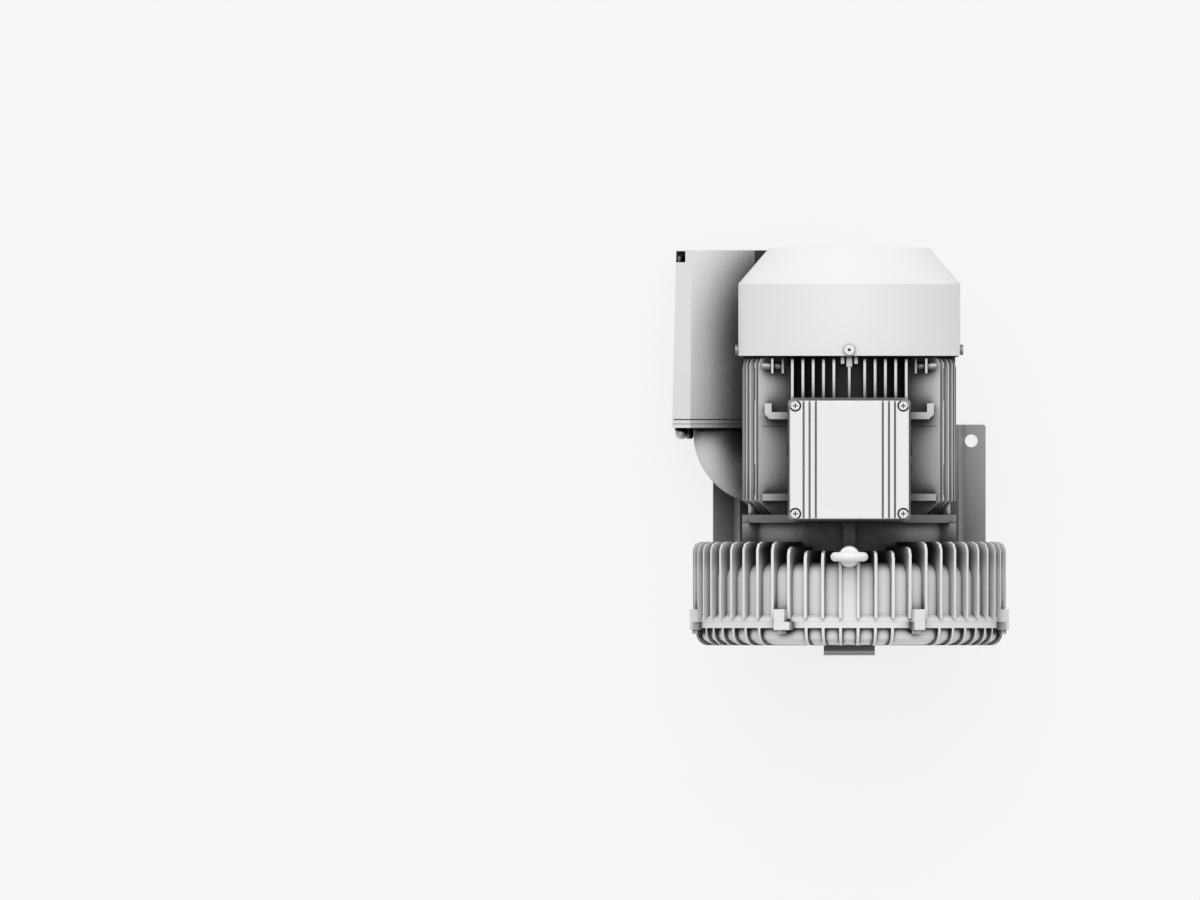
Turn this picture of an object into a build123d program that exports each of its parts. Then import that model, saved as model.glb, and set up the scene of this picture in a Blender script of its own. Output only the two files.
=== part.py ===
from build123d import *
import math
import os

# Side channel blower: a finned compressor casing driven by a fan-cooled motor on the same axis,
# carried on a bent-sheet foot, with a silencer beside the motor.
# Frame: millimetres, +X to the free port, +Y from the casing towards the fan cowl, +Z up.
# The origin is the centre of the four foot holes, on the floor. Places along the motor axis are y
# values; "radius" is always measured from the motor axis unless a line says otherwise.

os.makedirs("parts", exist_ok=True)

# ------------------------------------------------------------------ driving dimensions: general
lug_clearance = 1.0          # between the lowest casing lug and the foot
running_gap = 0.6            # between the impeller and the casing round it
shaft_gap = 0.05             # radial play of running and pressed round fits
seat_gap = 0.3               # play round a piece dropped into a pocket

# ------------------------------------------------------------------ driving dimensions: casing
split_y = -91.0              # joint face between casing housing and cover
channel_radius = 30.0        # round section of the side channel
channel_pitch = 112.0        # radius of the channel's centre line
casting_wall = 7.0
band_rear = 4.0              # smooth belt behind the joint face
band_front = 6.3             # and before it
band_slope = 4.0             # length of the slope from the belt down to the housing's wall
band_step = 4.5              # how far the belt stands out of the wall
rib_count = 55
rib_thickness = 3.0
rib_step = 3.0               # how far the ribs stand out of the belt
rib_corner = 8.0
rib_rear_y = -11.0
crown_rib_rear_y = -20.0     # the ribs beside the lifting eye start further forward
wall_rear_bulge = 45.0       # how far the wall reaches behind the channel's middle
wall_corner = 15.0           # rounding from the outer wall to the rear wall
curve_steps = 4              # flats that make up a quarter of each cast curve
cover_depth = 23.5           # cover, joint face to the rib fronts
cover_plate = 7.0
cover_shoulder = 8.0         # straight wall of the cover before its front corner
cover_corner = 20.0          # radial reach of that corner
cover_rib_corner = (11.0, 14.0)      # radial and axial reach of the cover ribs' corner
dish_spokes = 8
dish_hub_radius = 26.0
interrupter_half_angle = 9.0
lug_count = 7
lug_reach = 9.0              # how far the lugs stand out of the belt
lug_width = 11.6
lug_rear = 12.6              # lug length behind the joint face
lug_front = 8.3              # lug length before the joint face
lug_toe = 5.8                # sideways block on the lug left of the lifting eye
bolt_drop = 6.5              # casing bolts below the lug tops
casing_bolt = 6.0
eye_boss_radius = 11.0
eye_y = -26.0
eye_seat_height = 8.0        # seat of the eye above the outer wall
eye_thread_length = 12.0
eye_thread = 8.0
eye_collar = 10.25
eye_ring = 14.2              # radius of the ring's centre line
eye_section = 4.6

# ------------------------------------------------------------------ driving dimensions: motor end
neck_radius = 99.0
neck_cavity = 6.0            # metal between the cavity in the neck and the channel
neck_web_z = 32.0            # webs beside the neck, above and below the axis
neck_web_inset = 12.0
spine_half_width = 6.0
spine_cap = (7.3, 5.6)       # half width and front end of the cap behind the spine
flange_radius = 107.0
flange_front_y = 8.0
flange_thickness = 8.0
hub_radius = 42.0
front_bearing = (15.0, 31.0, 16.0)   # bore radius, outer radius, width
rear_bearing = (12.5, 26.0, 15.0)
race_share = 0.28                    # thickness of an inner ring as a share of the bearing's section
spring_washer = 1.4
shaft_seal_radius = 26.0
shaft_seal_width = 8.0
frame_inner_radius = 78.0
frame_wall = 6.0
frame_rear_y = 164.0
fin_radius = 107.0
fin_thickness = 2.6
fin_rear_y = 174.0
fin_corner = 7.0
fin_front_slope = 14.0
top_fin_places = (15.4, 25.8, 36.1, 46.4, 57.0)
side_fin_places = (7.0, 18.0, 29.0, 40.0, 51.0)
bottom_fin_places = (0.0, 12.0, 24.0, 36.0, 48.0)
pad_drop = 22.0              # side pads below the top of the barrel
pad_reach = 91.0
pad_thickness = 4.0
pad_groove_y = 104.5
hook_reach = 84.7
hook_y = 111.6
hook_thickness = 7.0
hook_arm = 15.8
hook_height = (6.0, 15.0)    # underside of the arm and top of the hook above the pad
hook_corner = 5.0
web_y = 30.0
web_thickness = 7.0
web_height = 12.0
clamp_places = (65.4, 75.9)  # inner faces of the two clamp lugs on each pad
clamp_thickness = 2.2
clamp_half_depth = 7.4
clamp_screw = 7.4
clamp_screw_end = 87.2
clamp_y = 164.8
notch_places = ((36.0, 66.0), (130.0, 163.0))
notch_depth = 13.0
pedestal_half_width = 58.0
pedestal_rear_y = 133.0
pedestal_height = 108.0
flange_bolt_circle = 97.0
flange_bolt = 6.0
flange_bolt_angle = 78.0     # from the top, so that the webs cover the bolt heads
flange_boss_length = 18.0
shield_bolt = 5.0
shield_thickness = 8.0
shield_screw_angles = (45, 135, 225, 315)

# ------------------------------------------------------------------ driving dimensions: rotor
impeller_width = 27.0
impeller_radius = 142.0
impeller_blades = 44
blade_thickness = 2.4
impeller_hub_radius = 24.0
shaft_front_y = -78.0
shaft_shoulder_y = -45.0
shaft_front_radius = 12.0
shaft_core_radius = 17.0
shaft_fan_radius = 10.0
shaft_rear_y = 240.0
core_start_y = 45.0
core_end_y = 145.0
air_gap = 0.5
stator_bore_radius = 50.0
winding_overhang = 14.0
stator_slots = 24

# ------------------------------------------------------------------ driving dimensions: fan and cowl
cowl_radius = 111.0
cowl_wall = 2.0
cowl_front_y = 175.0
cowl_shoulder_y = 247.0
cowl_rear_y = 283.0
cowl_rear_radius = 80.0
cowl_screw_y = 181.0
cowl_screw = 5.0
cowl_boss_half_width = 8.4
cowl_stem_half_width = 2.8
cowl_ear = 3.4               # width of the two ears beside the stem
cowl_ear_front = 167.0
fan_radius = 97.0
fan_blades = 9
fan_front_y = 205.0
fan_rear_y = 236.0
grille_rings = 4
grille_spokes = 6

# ------------------------------------------------------------------ driving dimensions: terminal box
box_half_width = 61.4
box_front_y = 10.0
box_length = 122.0
box_height = 37.0
box_wall = 3.5
box_corner = 5.0
box_foot_screw_x = 44.0
entry_radius = 12.5
entry_places = (52.0, 90.0)
gasket_thickness = 1.0
lid_height = 10.0
lid_inset = 1.8
lid_screw = 4.0
lid_screw_side_inset = 7.4
lid_screw_inset = 7.0
lid_groove_places = (33.5, 39.7, 45.7)
lid_groove_width = 2.0
lid_groove_depth = 1.6
board_shift = 26.0           # terminal board behind the middle of the box
board_half = (32.0, 14.0)
board_thickness = 8.0
stud_pitch = (20.0, 16.0)
stud_height = 14.0

# ------------------------------------------------------------------ driving dimensions: ports
port_block_half_width = 76.0
port_block_front_y = -27.0
port_block_rear_y = 92.0
port_y = 56.0
port_height = 61.0
port_block_rise = 37.0       # from the ports' axis to the top of the block
port_radius = 22.4
port_depth = 14.0
throat_radius = 17.0
passage_radius = 16.0
passage_start_x = 48.0
saddle_radius = 109.5
elbow_radius = 30.0          # outside of the pipe
elbow_wall = 4.0
elbow_bend = 42.7
elbow_start_x = 83.3
elbow_flange = 6.0
elbow_flange_half = 32.0
elbow_parts = 6              # straight lengths that make up the bend
port_bolt = 6.0
port_bolt_depth = 9.0
port_bolt_offset = 26.5

# ------------------------------------------------------------------ driving dimensions: silencer
silencer_half_width = 51.0
silencer_half_height = 42.5
silencer_chamfer = 18.0
silencer_draft = 4.0
silencer_front_y = 102.9
silencer_cap = 8.8
cap_groove_y = 106.8
cap_groove = 0.5
cap_gasket = 1.1             # the cap's set-back rear edge
silencer_rear_y = 280.5
silencer_wall = 3.0
tie_x = (42.0, 34.0)         # upper and lower tie bolts beside the silencer's middle
tie_z = (13.0, -22.0)
tie_bolt = 6.0
liner_radius = 25.0
liner_wall = 1.5
foam_play = 0.5
notch_front_y = 268.5
notch_rear_y = 279.6

# ------------------------------------------------------------------ driving dimensions: foot
foot_half_width = 136.3
foot_rear_y = 106.2
foot_front_y = -104.0
foot_sheet = 3.5
foot_crown = 16.5            # top of the raised middle
foot_bend_in = 108.0
foot_bend_out = 113.5
foot_hole_x = 122.0
foot_hole_y = 90.0
foot_hole_radius = 6.4
tab_half_width = 25.5
tab_front_y = -124.5
foot_bolt = 10.0

# ------------------------------------------------------------------ places worked out from the above
slot_depth = impeller_width + 2 * running_gap
channel_y = split_y + slot_depth / 2
wall_ring = channel_radius + casting_wall
wall_radius = channel_pitch + wall_ring
band_radius = wall_radius + band_step
rib_radius = band_radius + rib_step
lug_radius = band_radius + lug_reach
casing_bolt_circle = lug_radius - bolt_drop
axis_height = foot_crown + lug_clearance + lug_radius
eye_seat_radius = wall_radius + eye_seat_height
pad_height = frame_inner_radius + frame_wall - pad_drop
back_wall_y = channel_y + wall_rear_bulge
seal_rear_y = flange_front_y - front_bearing[2] - 10
flange_bolt_angles = [s * flange_bolt_angle + turn for turn in (0, 180) for s in (-1, 1)]
port_bolt_offsets = [(sy * port_bolt_offset, sz * port_bolt_offset) for sy in (-1, 1) for sz in (-1, 1)]
rear_bearing_y = frame_rear_y + 6
shield_space = frame_inner_radius + frame_wall + 3
shield_screw_circle = frame_inner_radius + frame_wall / 2
slot_radius = impeller_radius + running_gap
foam_radius = silencer_half_height - silencer_draft - silencer_wall - foam_play
flange_rear_y = flange_front_y + flange_thickness
cover_front_y = split_y - cover_depth
rib_pitch = 360 / rib_count
lug_pitch = 360 / lug_count
lug_angles = [(i + 0.5) * lug_pitch for i in range(lug_count)]
box_rear_y = box_front_y + box_length
box_floor_z = axis_height + pedestal_height
box_rim_z = box_floor_z + box_height
lid_base_z = box_rim_z + gasket_thickness
lid_top_z = lid_base_z + lid_height
lid_screw_x = box_half_width - lid_screw_side_inset
box_foot_screw_places = (box_front_y + lid_screw_inset + 12, box_rear_y - lid_screw_inset - 12)
entry_z = box_floor_z + box_height / 2
board_y = (box_front_y + box_rear_y) / 2 + board_shift
silencer_x = -(elbow_start_x + elbow_bend)
silencer_body_y = silencer_front_y + silencer_cap

MOTOR_AXIS = Axis((0, 0, axis_height), (0, 1, 0))
MERIDIAN = Plane(origin=(0, 0, axis_height), x_dir=(0, 0, 1), z_dir=(-1, 0, 0))


# ------------------------------------------------------------------ helpers
def block(x0, x1, y0, y1, z0, z1):
    """A box between two corners."""
    centre = Pos((x0 + x1) / 2, (y0 + y1) / 2, (z0 + z1) / 2)
    return centre * Box(abs(x1 - x0), abs(y1 - y0), abs(z1 - z0))


def bar_x(radius, x0, x1, y, z):
    """A round bar along X."""
    return Pos((x0 + x1) / 2, y, z) * Rot(0, 90, 0) * Cylinder(radius, abs(x1 - x0))


def bar_y(radius, x, y0, y1, z):
    """A round bar along Y."""
    return Pos(x, (y0 + y1) / 2, z) * Rot(90, 0, 0) * Cylinder(radius, abs(y1 - y0))


def bar_z(radius, x, y, z0, z1):
    """An upright round bar."""
    return Pos(x, y, (z0 + z1) / 2) * Cylinder(radius, abs(z1 - z0))


def drum(radius, y0, y1):
    """A round bar on the motor axis."""
    return bar_y(radius, 0, y0, y1, axis_height)


def turned(outline):
    """Turn an outline of (radius, y) points or edges about the motor axis."""
    edges = Polyline(*outline, close=True) if isinstance(outline, list) else outline
    return revolve(MERIDIAN * make_face(edges), MOTOR_AXIS)


def tube(inner, outer, y0, y1):
    """A ring on the motor axis."""
    return turned([(inner, y0), (outer, y0), (outer, y1), (inner, y1)])


def quarter(centre, reach, start, turn=90):
    """Points (radius, y) along part of an ellipse, as the flats of a cast curve."""
    steps = max(1, round(curve_steps * abs(turn) / 90))
    points = []
    for i in range(steps + 1):
        angle = math.radians(start + turn * i / steps)
        points.append((centre[0] + reach[0] * math.cos(angle), centre[1] + reach[1] * math.sin(angle)))
    return points


def about_axis(shape, degrees):
    """Turn a shape about the motor axis, from the top towards +X."""
    return shape.rotate(MOTOR_AXIS, degrees)


def at_radius(radius, degrees):
    """The x and z of a point at a radius and an angle from the top."""
    turn = math.radians(degrees)
    return radius * math.sin(turn), axis_height + radius * math.cos(turn)


def hexagon(across_flats, thickness):
    """A hexagonal prism standing on its own XY plane."""
    return extrude(RegularPolygon(across_flats / 2, 6, major_radius=False), thickness)


def hex_bolt(thread, grip, head=True):
    """A hexagon bolt, its seat at its own origin and its thread towards -Z."""
    shank = Pos(0, 0, -grip / 2) * Cylinder(thread / 2 - shaft_gap, grip)
    return shank + hexagon(1.65 * thread, 0.65 * thread) if head else shank


def socket_screw(thread, grip, head_radius, head_height, socket):
    """A round-headed screw with a hexagon socket, seated as hex_bolt is."""
    shank = Pos(0, 0, -grip / 2) * Cylinder(thread / 2 - shaft_gap, grip)
    head = Pos(0, 0, head_height / 2) * Cylinder(head_radius, head_height)
    recess = Pos(0, 0, head_height * 0.4) * hexagon(socket, head_height)
    return shank + head - recess


def facing(x, y, z, direction):
    """A location at a point whose local +Z points in a direction."""
    return Plane(origin=(x, y, z), z_dir=direction).location


pieces = {}


def keep(name, *solids):
    """Store a node as one or more separate solids."""
    flat = [solid for shape in solids for solid in shape.solids()]
    pieces[name] = flat[0] if len(flat) == 1 else Compound(children=flat)
    return pieces[name]


# ------------------------------------------------------------------ casing
def casing_rib(rear_y):
    """One rib of the housing, from neck and channel wall out to the rib circle."""
    root = wall_ring - 3
    front_y = split_y + band_rear - 1
    centre = (rib_radius - rib_corner, rear_y - rib_corner)
    corner = [(centre[0] + rib_corner, centre[1]),
              (centre[0] + rib_corner * math.sqrt(0.5), centre[1] + rib_corner * math.sqrt(0.5)),
              (centre[0], rear_y)]
    inner = [(neck_radius - 2, back_wall_y - 3), (wall_radius - wall_corner, back_wall_y - 3),
             (channel_pitch + root, back_wall_y - wall_corner)]
    outline = [(channel_pitch + root, front_y), (rib_radius, front_y), *corner,
               (neck_radius - 2, rear_y), *inner]
    return extrude(MERIDIAN * make_face(Polyline(*outline, close=True)), rib_thickness / 2, both=True)


def lug(y0, y1, toe=0.0):
    """An ear on the belt that takes one casing bolt; the toe widens it to one side."""
    return block(-lug_width / 2, lug_width / 2 + toe, y0, y1,
                 axis_height + wall_radius - 3, axis_height + lug_radius)


def channel_cut():
    """The side channel, open all round but for the interrupter at the bottom."""
    flats = 2 * curve_steps
    section = MERIDIAN * (Pos(channel_pitch, channel_y) * RegularPolygon(channel_radius, flats))
    start = about_axis(section, 180 + interrupter_half_angle)
    return revolve(start, MOTOR_AXIS, 360 - 2 * interrupter_half_angle)


def casing_bolt_holes():
    holes = []
    for angle in lug_angles:
        x, z = at_radius(casing_bolt_circle, angle)
        holes.append(bar_y(casing_bolt / 2, x, split_y + lug_rear + 1, split_y - lug_front - 1, z))
    return holes


def port_block():
    """The cast block under the motor that carries both ports."""
    body = block(-port_block_half_width, port_block_half_width, port_block_front_y,
                 port_block_rear_y, foot_crown, port_height + port_block_rise)
    body = fillet(body.edges().filter_by(Axis.Y).group_by(Axis.Z)[0], 8)
    return body - drum(saddle_radius, flange_rear_y, port_block_rear_y + 1)


def port_cuts(side):
    """A threaded mouth, a narrower throat and the slanting passage into the channel."""
    face_x = side * port_block_half_width
    throat_x = side * (port_block_half_width - port_depth)
    inner_x = side * passage_start_x
    mouth = bar_x(port_radius, face_x + side, throat_x, port_y, port_height)
    throat = bar_x(throat_radius, throat_x + side, inner_x - side * 4, port_y, port_height - 2)
    start = Vector(inner_x, port_y + 8, port_height - 4)
    x, z = at_radius(channel_pitch + 10, 180 - side * 20)
    end = Vector(x, channel_y + 14, z)
    way = end - start
    passage = Plane(origin=start + way / 2, z_dir=way) * Cylinder(passage_radius, way.length)
    return mouth + throat + passage


def foot_bolt_places():
    return [(sx * 50.0, y) for sx in (-1, 1) for y in (port_block_front_y + 18, port_block_rear_y - 18)]


def casing_housing():
    """Rear casting: motor flange, neck, channel half, cooling ribs, lugs and port block."""
    wall = quarter((wall_radius - wall_corner, back_wall_y - wall_corner), (wall_corner, wall_corner), 90, -90)
    body = turned([
        (0, flange_rear_y), (flange_radius, flange_rear_y), (flange_radius, flange_front_y),
        (neck_radius, flange_front_y), (neck_radius, back_wall_y), *wall,
        (wall_radius, split_y + band_rear + band_slope), (band_radius, split_y + band_rear),
        (band_radius, split_y), (0, split_y)])
    ribs = []
    for i in range(rib_count):
        angle = (i + 0.5) * rib_pitch
        from_top = min(angle, 360 - angle) / rib_pitch
        rear_y = rib_rear_y if from_top > 4 else rib_rear_y - 5 if from_top > 3 else crown_rib_rear_y
        ribs.append(about_axis(casing_rib(rear_y), angle))
    lugs = [about_axis(lug(split_y, split_y + lug_rear), angle) for angle in lug_angles]
    strip = block(-eye_boss_radius, eye_boss_radius, eye_y, split_y + band_rear,
                  axis_height + channel_pitch + wall_ring * 0.5, axis_height + band_radius)
    boss = bar_z(eye_boss_radius, 0, eye_y, axis_height + neck_radius - 2, axis_height + eye_seat_radius)
    spine = block(-spine_half_width, spine_half_width, eye_y, flange_front_y + 1,
                  axis_height + neck_radius - 2, axis_height + flange_radius - 1)
    cap = block(-spine_cap[0], spine_cap[0], spine_cap[1], flange_front_y + 1,
                axis_height + neck_radius - 2, axis_height + flange_radius)
    webs = [block(sx * (neck_radius - neck_web_inset), sx * flange_radius, rib_rear_y - 8, flange_front_y + 1,
                  axis_height + sz * neck_web_z - 4, axis_height + sz * neck_web_z + 4)
            for sx in (-1, 1) for sz in (-1, 1)]
    body = body + ribs + lugs + webs + [strip, boss, spine, cap, port_block()]
    # inside: impeller slot, channel, ports, lightening cavity, bearing and seal seats
    cuts = [drum(slot_radius, split_y - 1, split_y + slot_depth), channel_cut(),
            port_cuts(-1), port_cuts(1),
            tube(hub_radius, channel_pitch - channel_radius - neck_cavity, split_y + slot_depth + 8,
                 flange_rear_y + 1),
            drum(front_bearing[1] + shaft_gap, flange_front_y - front_bearing[2], flange_rear_y + 1),
            drum(shaft_core_radius + 3, split_y, flange_rear_y),
            drum(shaft_seal_radius + shaft_gap, split_y, seal_rear_y),
            bar_z(eye_thread / 2, 0, eye_y, axis_height + eye_seat_radius - eye_thread_length - 1,
                  axis_height + eye_seat_radius + 1)]
    pocket_x = neck_radius - neck_web_inset
    pocket_z = neck_web_z - 4
    for side in (-1, 1):
        cuts.append(block(side * pocket_x, side * (flange_radius + 1), flange_front_y - neck_web_inset,
                          flange_front_y, axis_height - pocket_z, axis_height + pocket_z))
    for x, y in foot_bolt_places():
        cuts.append(bar_z(foot_bolt / 2, x, y, foot_crown - 1, foot_crown + 14))
    for angle in flange_bolt_angles:
        x, z = at_radius(flange_bolt_circle, angle)
        cuts.append(bar_y(flange_bolt / 2 + seat_gap, x, flange_front_y - 1, flange_rear_y + 1, z))
    for side in (-1, 1):
        for dy, dz in port_bolt_offsets:
            cuts.append(bar_x(port_bolt / 2, side * (port_block_half_width + 1),
                              side * (port_block_half_width - port_bolt_depth), port_y + dy,
                              port_height + dz))
    return body - cuts - casing_bolt_holes()


def cover_rib():
    """One rib of the cover, over its front and round to the band."""
    root = wall_ring - 3
    start_y = split_y - band_front + 1
    front = cover_front_y
    reach = math.sqrt(root ** 2 - (channel_y - start_y) ** 2)
    corner = quarter((band_radius - cover_rib_corner[0], front + cover_rib_corner[1]), cover_rib_corner, 0, -90)
    outline = [
        (channel_pitch + reach, start_y), (band_radius, start_y), *corner,
        (channel_pitch - wall_ring * 0.6, front),
        (channel_pitch - reach, start_y), (channel_pitch - root * 0.5, channel_y - root * 0.8),
        (channel_pitch + root * 0.5, channel_y - root * 0.8)]
    return extrude(MERIDIAN * make_face(Polyline(*outline, close=True)), rib_thickness / 2, both=True)


def casing_cover():
    """Front casting: flat joint face, channel half, ribs and a dished middle."""
    plate_y = split_y - cover_plate
    belt_y = split_y - band_front
    shoulder_y = belt_y - cover_shoulder
    wall_front_y = channel_y - wall_ring
    inner_turn = math.degrees(math.acos((channel_y - plate_y) / wall_ring))
    outer = quarter((wall_radius - cover_corner, shoulder_y), (cover_corner, shoulder_y - wall_front_y), 0, -90)
    wall = quarter((channel_pitch, channel_y), (wall_ring, wall_ring), -90, -inner_turn)
    dish_radius = wall[-1][0]
    body = turned([(0, split_y), (band_radius, split_y), (band_radius, belt_y), (wall_radius, belt_y),
                   *outer, *wall, (0, plate_y)])
    ribs = []
    for i in range(rib_count):
        angle = (i + 0.5) * rib_pitch
        if min(abs(angle - bolt) for bolt in lug_angles) > 0.6 * rib_pitch:
            ribs.append(about_axis(cover_rib(), angle))
    lugs = [about_axis(lug(split_y - lug_front, split_y, lug_toe if angle == lug_angles[-1] else 0.0), angle)
            for angle in lug_angles]
    spokes = []
    for i in range(dish_spokes):
        spoke = block(-2, 2, cover_front_y + 8, plate_y + 1, axis_height + dish_hub_radius - 4,
                      axis_height + dish_radius + 2)
        spokes.append(about_axis(spoke, i * 360 / dish_spokes))
    hub = drum(dish_hub_radius, cover_front_y + 4, plate_y + 1)
    body = body + ribs + lugs + spokes + hub
    return body - channel_cut() - casing_bolt_holes()


def casing_bolts():
    bolts = []
    for angle in lug_angles:
        x, z = at_radius(casing_bolt_circle, angle)
        seat = facing(x, split_y - lug_front, z, (0, -1, 0))
        bolts.append(seat * hex_bolt(casing_bolt, lug_front + lug_rear - 2))
    return bolts


# ------------------------------------------------------------------ rotor
def impeller():
    """Hub, thin web and a ring of blades working in both halves of the channel."""
    front = split_y + running_gap
    rear = front + impeller_width
    ring_inner = channel_pitch - channel_radius
    web = turned([
        (shaft_front_radius, shaft_front_y - 2), (impeller_hub_radius, shaft_front_y - 2),
        (impeller_hub_radius, channel_y - 3), (ring_inner - 6, channel_y - 3), (ring_inner - 6, front),
        (ring_inner, front), (ring_inner + 4, channel_y - 1.5), (impeller_radius - 1, channel_y - 1.5),
        (impeller_radius - 1, channel_y + 1.5), (ring_inner + 4, channel_y + 1.5), (ring_inner, rear),
        (ring_inner - 6, rear), (ring_inner - 6, channel_y + 3), (impeller_hub_radius, channel_y + 3),
        (impeller_hub_radius, shaft_shoulder_y), (shaft_front_radius, shaft_shoulder_y)])
    blade = block(-blade_thickness / 2, blade_thickness / 2, front, rear,
                  axis_height + ring_inner - 2, axis_height + impeller_radius)
    blades = [about_axis(blade, i * 360 / impeller_blades) for i in range(impeller_blades)]
    return web + blades - key_block(0)


def key_block(play):
    """The feather key between shaft and impeller, grown by some play."""
    return block(-4 - play, 4 + play, shaft_front_y + 6 - play, shaft_shoulder_y - 4 + play,
                 axis_height + shaft_front_radius - 4, axis_height + shaft_front_radius + 3 + play)


def motor_shaft():
    front_inner = front_bearing[0]
    rear_inner = rear_bearing[0]
    body = turned([
        (0, shaft_front_y), (shaft_front_radius, shaft_front_y), (shaft_front_radius, shaft_shoulder_y),
        (front_inner, shaft_shoulder_y), (front_inner, flange_front_y),
        (shaft_core_radius, flange_front_y), (shaft_core_radius, rear_bearing_y),
        (rear_inner, rear_bearing_y), (rear_inner, rear_bearing_y + rear_bearing[2] + 3),
        (shaft_fan_radius, rear_bearing_y + rear_bearing[2] + 3), (shaft_fan_radius, shaft_rear_y),
        (0, shaft_rear_y)])
    return body - key_block(0) - drum(4.0, shaft_front_y - 1, shaft_front_y + 25)


def bearing_outer(spec, y0):
    """Outer ring with its two shields, closed over the balls."""
    bore, outer, width = spec
    return tube(bore + (outer - bore) * race_share + 0.2, outer, y0, y0 + width)


def bearing_inner(spec, y0):
    bore, outer, width = spec
    return tube(bore, bore + (outer - bore) * race_share, y0, y0 + width)


def shaft_seal():
    """Lip seal: a ring whose lip runs on the shaft."""
    lip = front_bearing[0] + shaft_gap
    front_y = seal_rear_y - shaft_seal_width
    return turned([(shaft_seal_radius, front_y), (shaft_seal_radius, seal_rear_y), (lip, seal_rear_y),
                   (lip, seal_rear_y - 3), (lip + 6, front_y)])


def rotor_core():
    """Laminated core with a short-circuit ring at each end."""
    outer = stator_bore_radius - air_gap
    return turned([
        (shaft_core_radius, core_start_y), (30, core_start_y), (30, core_start_y - 12),
        (outer - 4, core_start_y - 12), (outer - 4, core_start_y), (outer, core_start_y),
        (outer, core_end_y), (outer - 4, core_end_y), (outer - 4, core_end_y + 12), (30, core_end_y + 12),
        (30, core_end_y), (shaft_core_radius, core_end_y)])


def winding_head(y0, y1):
    """A ring of coil ends, one flat for each stator slot."""
    plane = Plane(origin=(0, y0, axis_height), z_dir=(0, 1, 0))
    outer = RegularPolygon(frame_inner_radius - 4, stator_slots)
    inner = RegularPolygon(stator_bore_radius + 3, stator_slots)
    return extrude(plane * (outer - inner), y1 - y0)


def cooling_fan():
    """Radial fan: hub, back plate and straight blades."""
    body = turned([
        (shaft_fan_radius, fan_front_y), (20, fan_front_y), (26, fan_front_y + 3),
        (fan_radius - 10, fan_front_y + 6),
        (fan_radius - 10, fan_front_y + 8.5), (26, fan_front_y + 6), (20, fan_front_y + 8),
        (18, fan_rear_y - 6), (shaft_fan_radius, fan_rear_y - 6)])
    outline = MERIDIAN * make_face(Polyline(
        (17, fan_front_y + 5), (fan_radius, fan_front_y + 7), (fan_radius, fan_front_y + 18),
        (fan_radius - 22, fan_rear_y), (40, fan_rear_y), (17, fan_rear_y - 8), close=True))
    blade = extrude(outline, 1.2, both=True)
    return body + [about_axis(blade, i * 360 / fan_blades) for i in range(fan_blades)]


# ------------------------------------------------------------------ motor body
def fin_envelope():
    """The turned space that the frame's fins fill, before they are cut apart."""
    root = frame_inner_radius + frame_wall - 2
    return turned([
        (root, frame_rear_y), (root, flange_rear_y), (fin_radius - fin_front_slope, flange_rear_y),
        (fin_radius, flange_rear_y + fin_front_slope), (fin_radius, fin_rear_y - fin_corner),
        (fin_radius - fin_corner * 0.3, fin_rear_y - fin_corner * 0.3),
        (fin_radius - fin_corner, fin_rear_y), (shield_space, fin_rear_y), (shield_space, frame_rear_y)])


def side_pad(side):
    """The flat shelf beside the terminal box, sloped at the front like the fins."""
    z = axis_height + pad_height - pad_thickness
    inner = pedestal_half_width - 4
    outline = [
        (inner, flange_rear_y), (pad_reach - fin_front_slope, flange_rear_y),
        (pad_reach, flange_rear_y + fin_front_slope), (pad_reach, fin_rear_y - fin_corner),
        (pad_reach - fin_corner * 0.3, fin_rear_y - fin_corner * 0.3),
        (pad_reach - fin_corner, fin_rear_y), (inner, fin_rear_y)]
    face = make_face(Polyline(*[(side * x, y) for x, y in outline], close=True))
    return extrude(Pos(0, 0, z) * face, pad_thickness, dir=(0, 0, 1))


def cable_hook(side):
    """The L-shaped hook beside the terminal box, with a cut outer corner."""
    low, high = axis_height + pad_height - 1, axis_height + pad_height + hook_height[1]
    points = [(pedestal_half_width - 2, hook_y), (hook_reach - hook_corner, hook_y),
              (hook_reach, hook_y + hook_corner), (hook_reach, hook_y + hook_thickness),
              (pedestal_half_width - 2, hook_y + hook_thickness)]
    bar = extrude(Pos(0, 0, low) * make_face(Polyline(*[(side * x, y) for x, y in points], close=True)),
                  high - low, dir=(0, 0, 1))
    arm = block(side * (hook_reach - hook_thickness), side * hook_reach, hook_y + hook_corner,
                hook_y + hook_arm, axis_height + pad_height + hook_height[0], high)
    return [bar, arm]


def clamp_bore(side, radius):
    """The round space of one clamp screw."""
    return bar_x(radius, side * clamp_places[0], side * clamp_screw_end, clamp_y,
                 axis_height + pad_height + clamp_half_depth)


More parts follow.
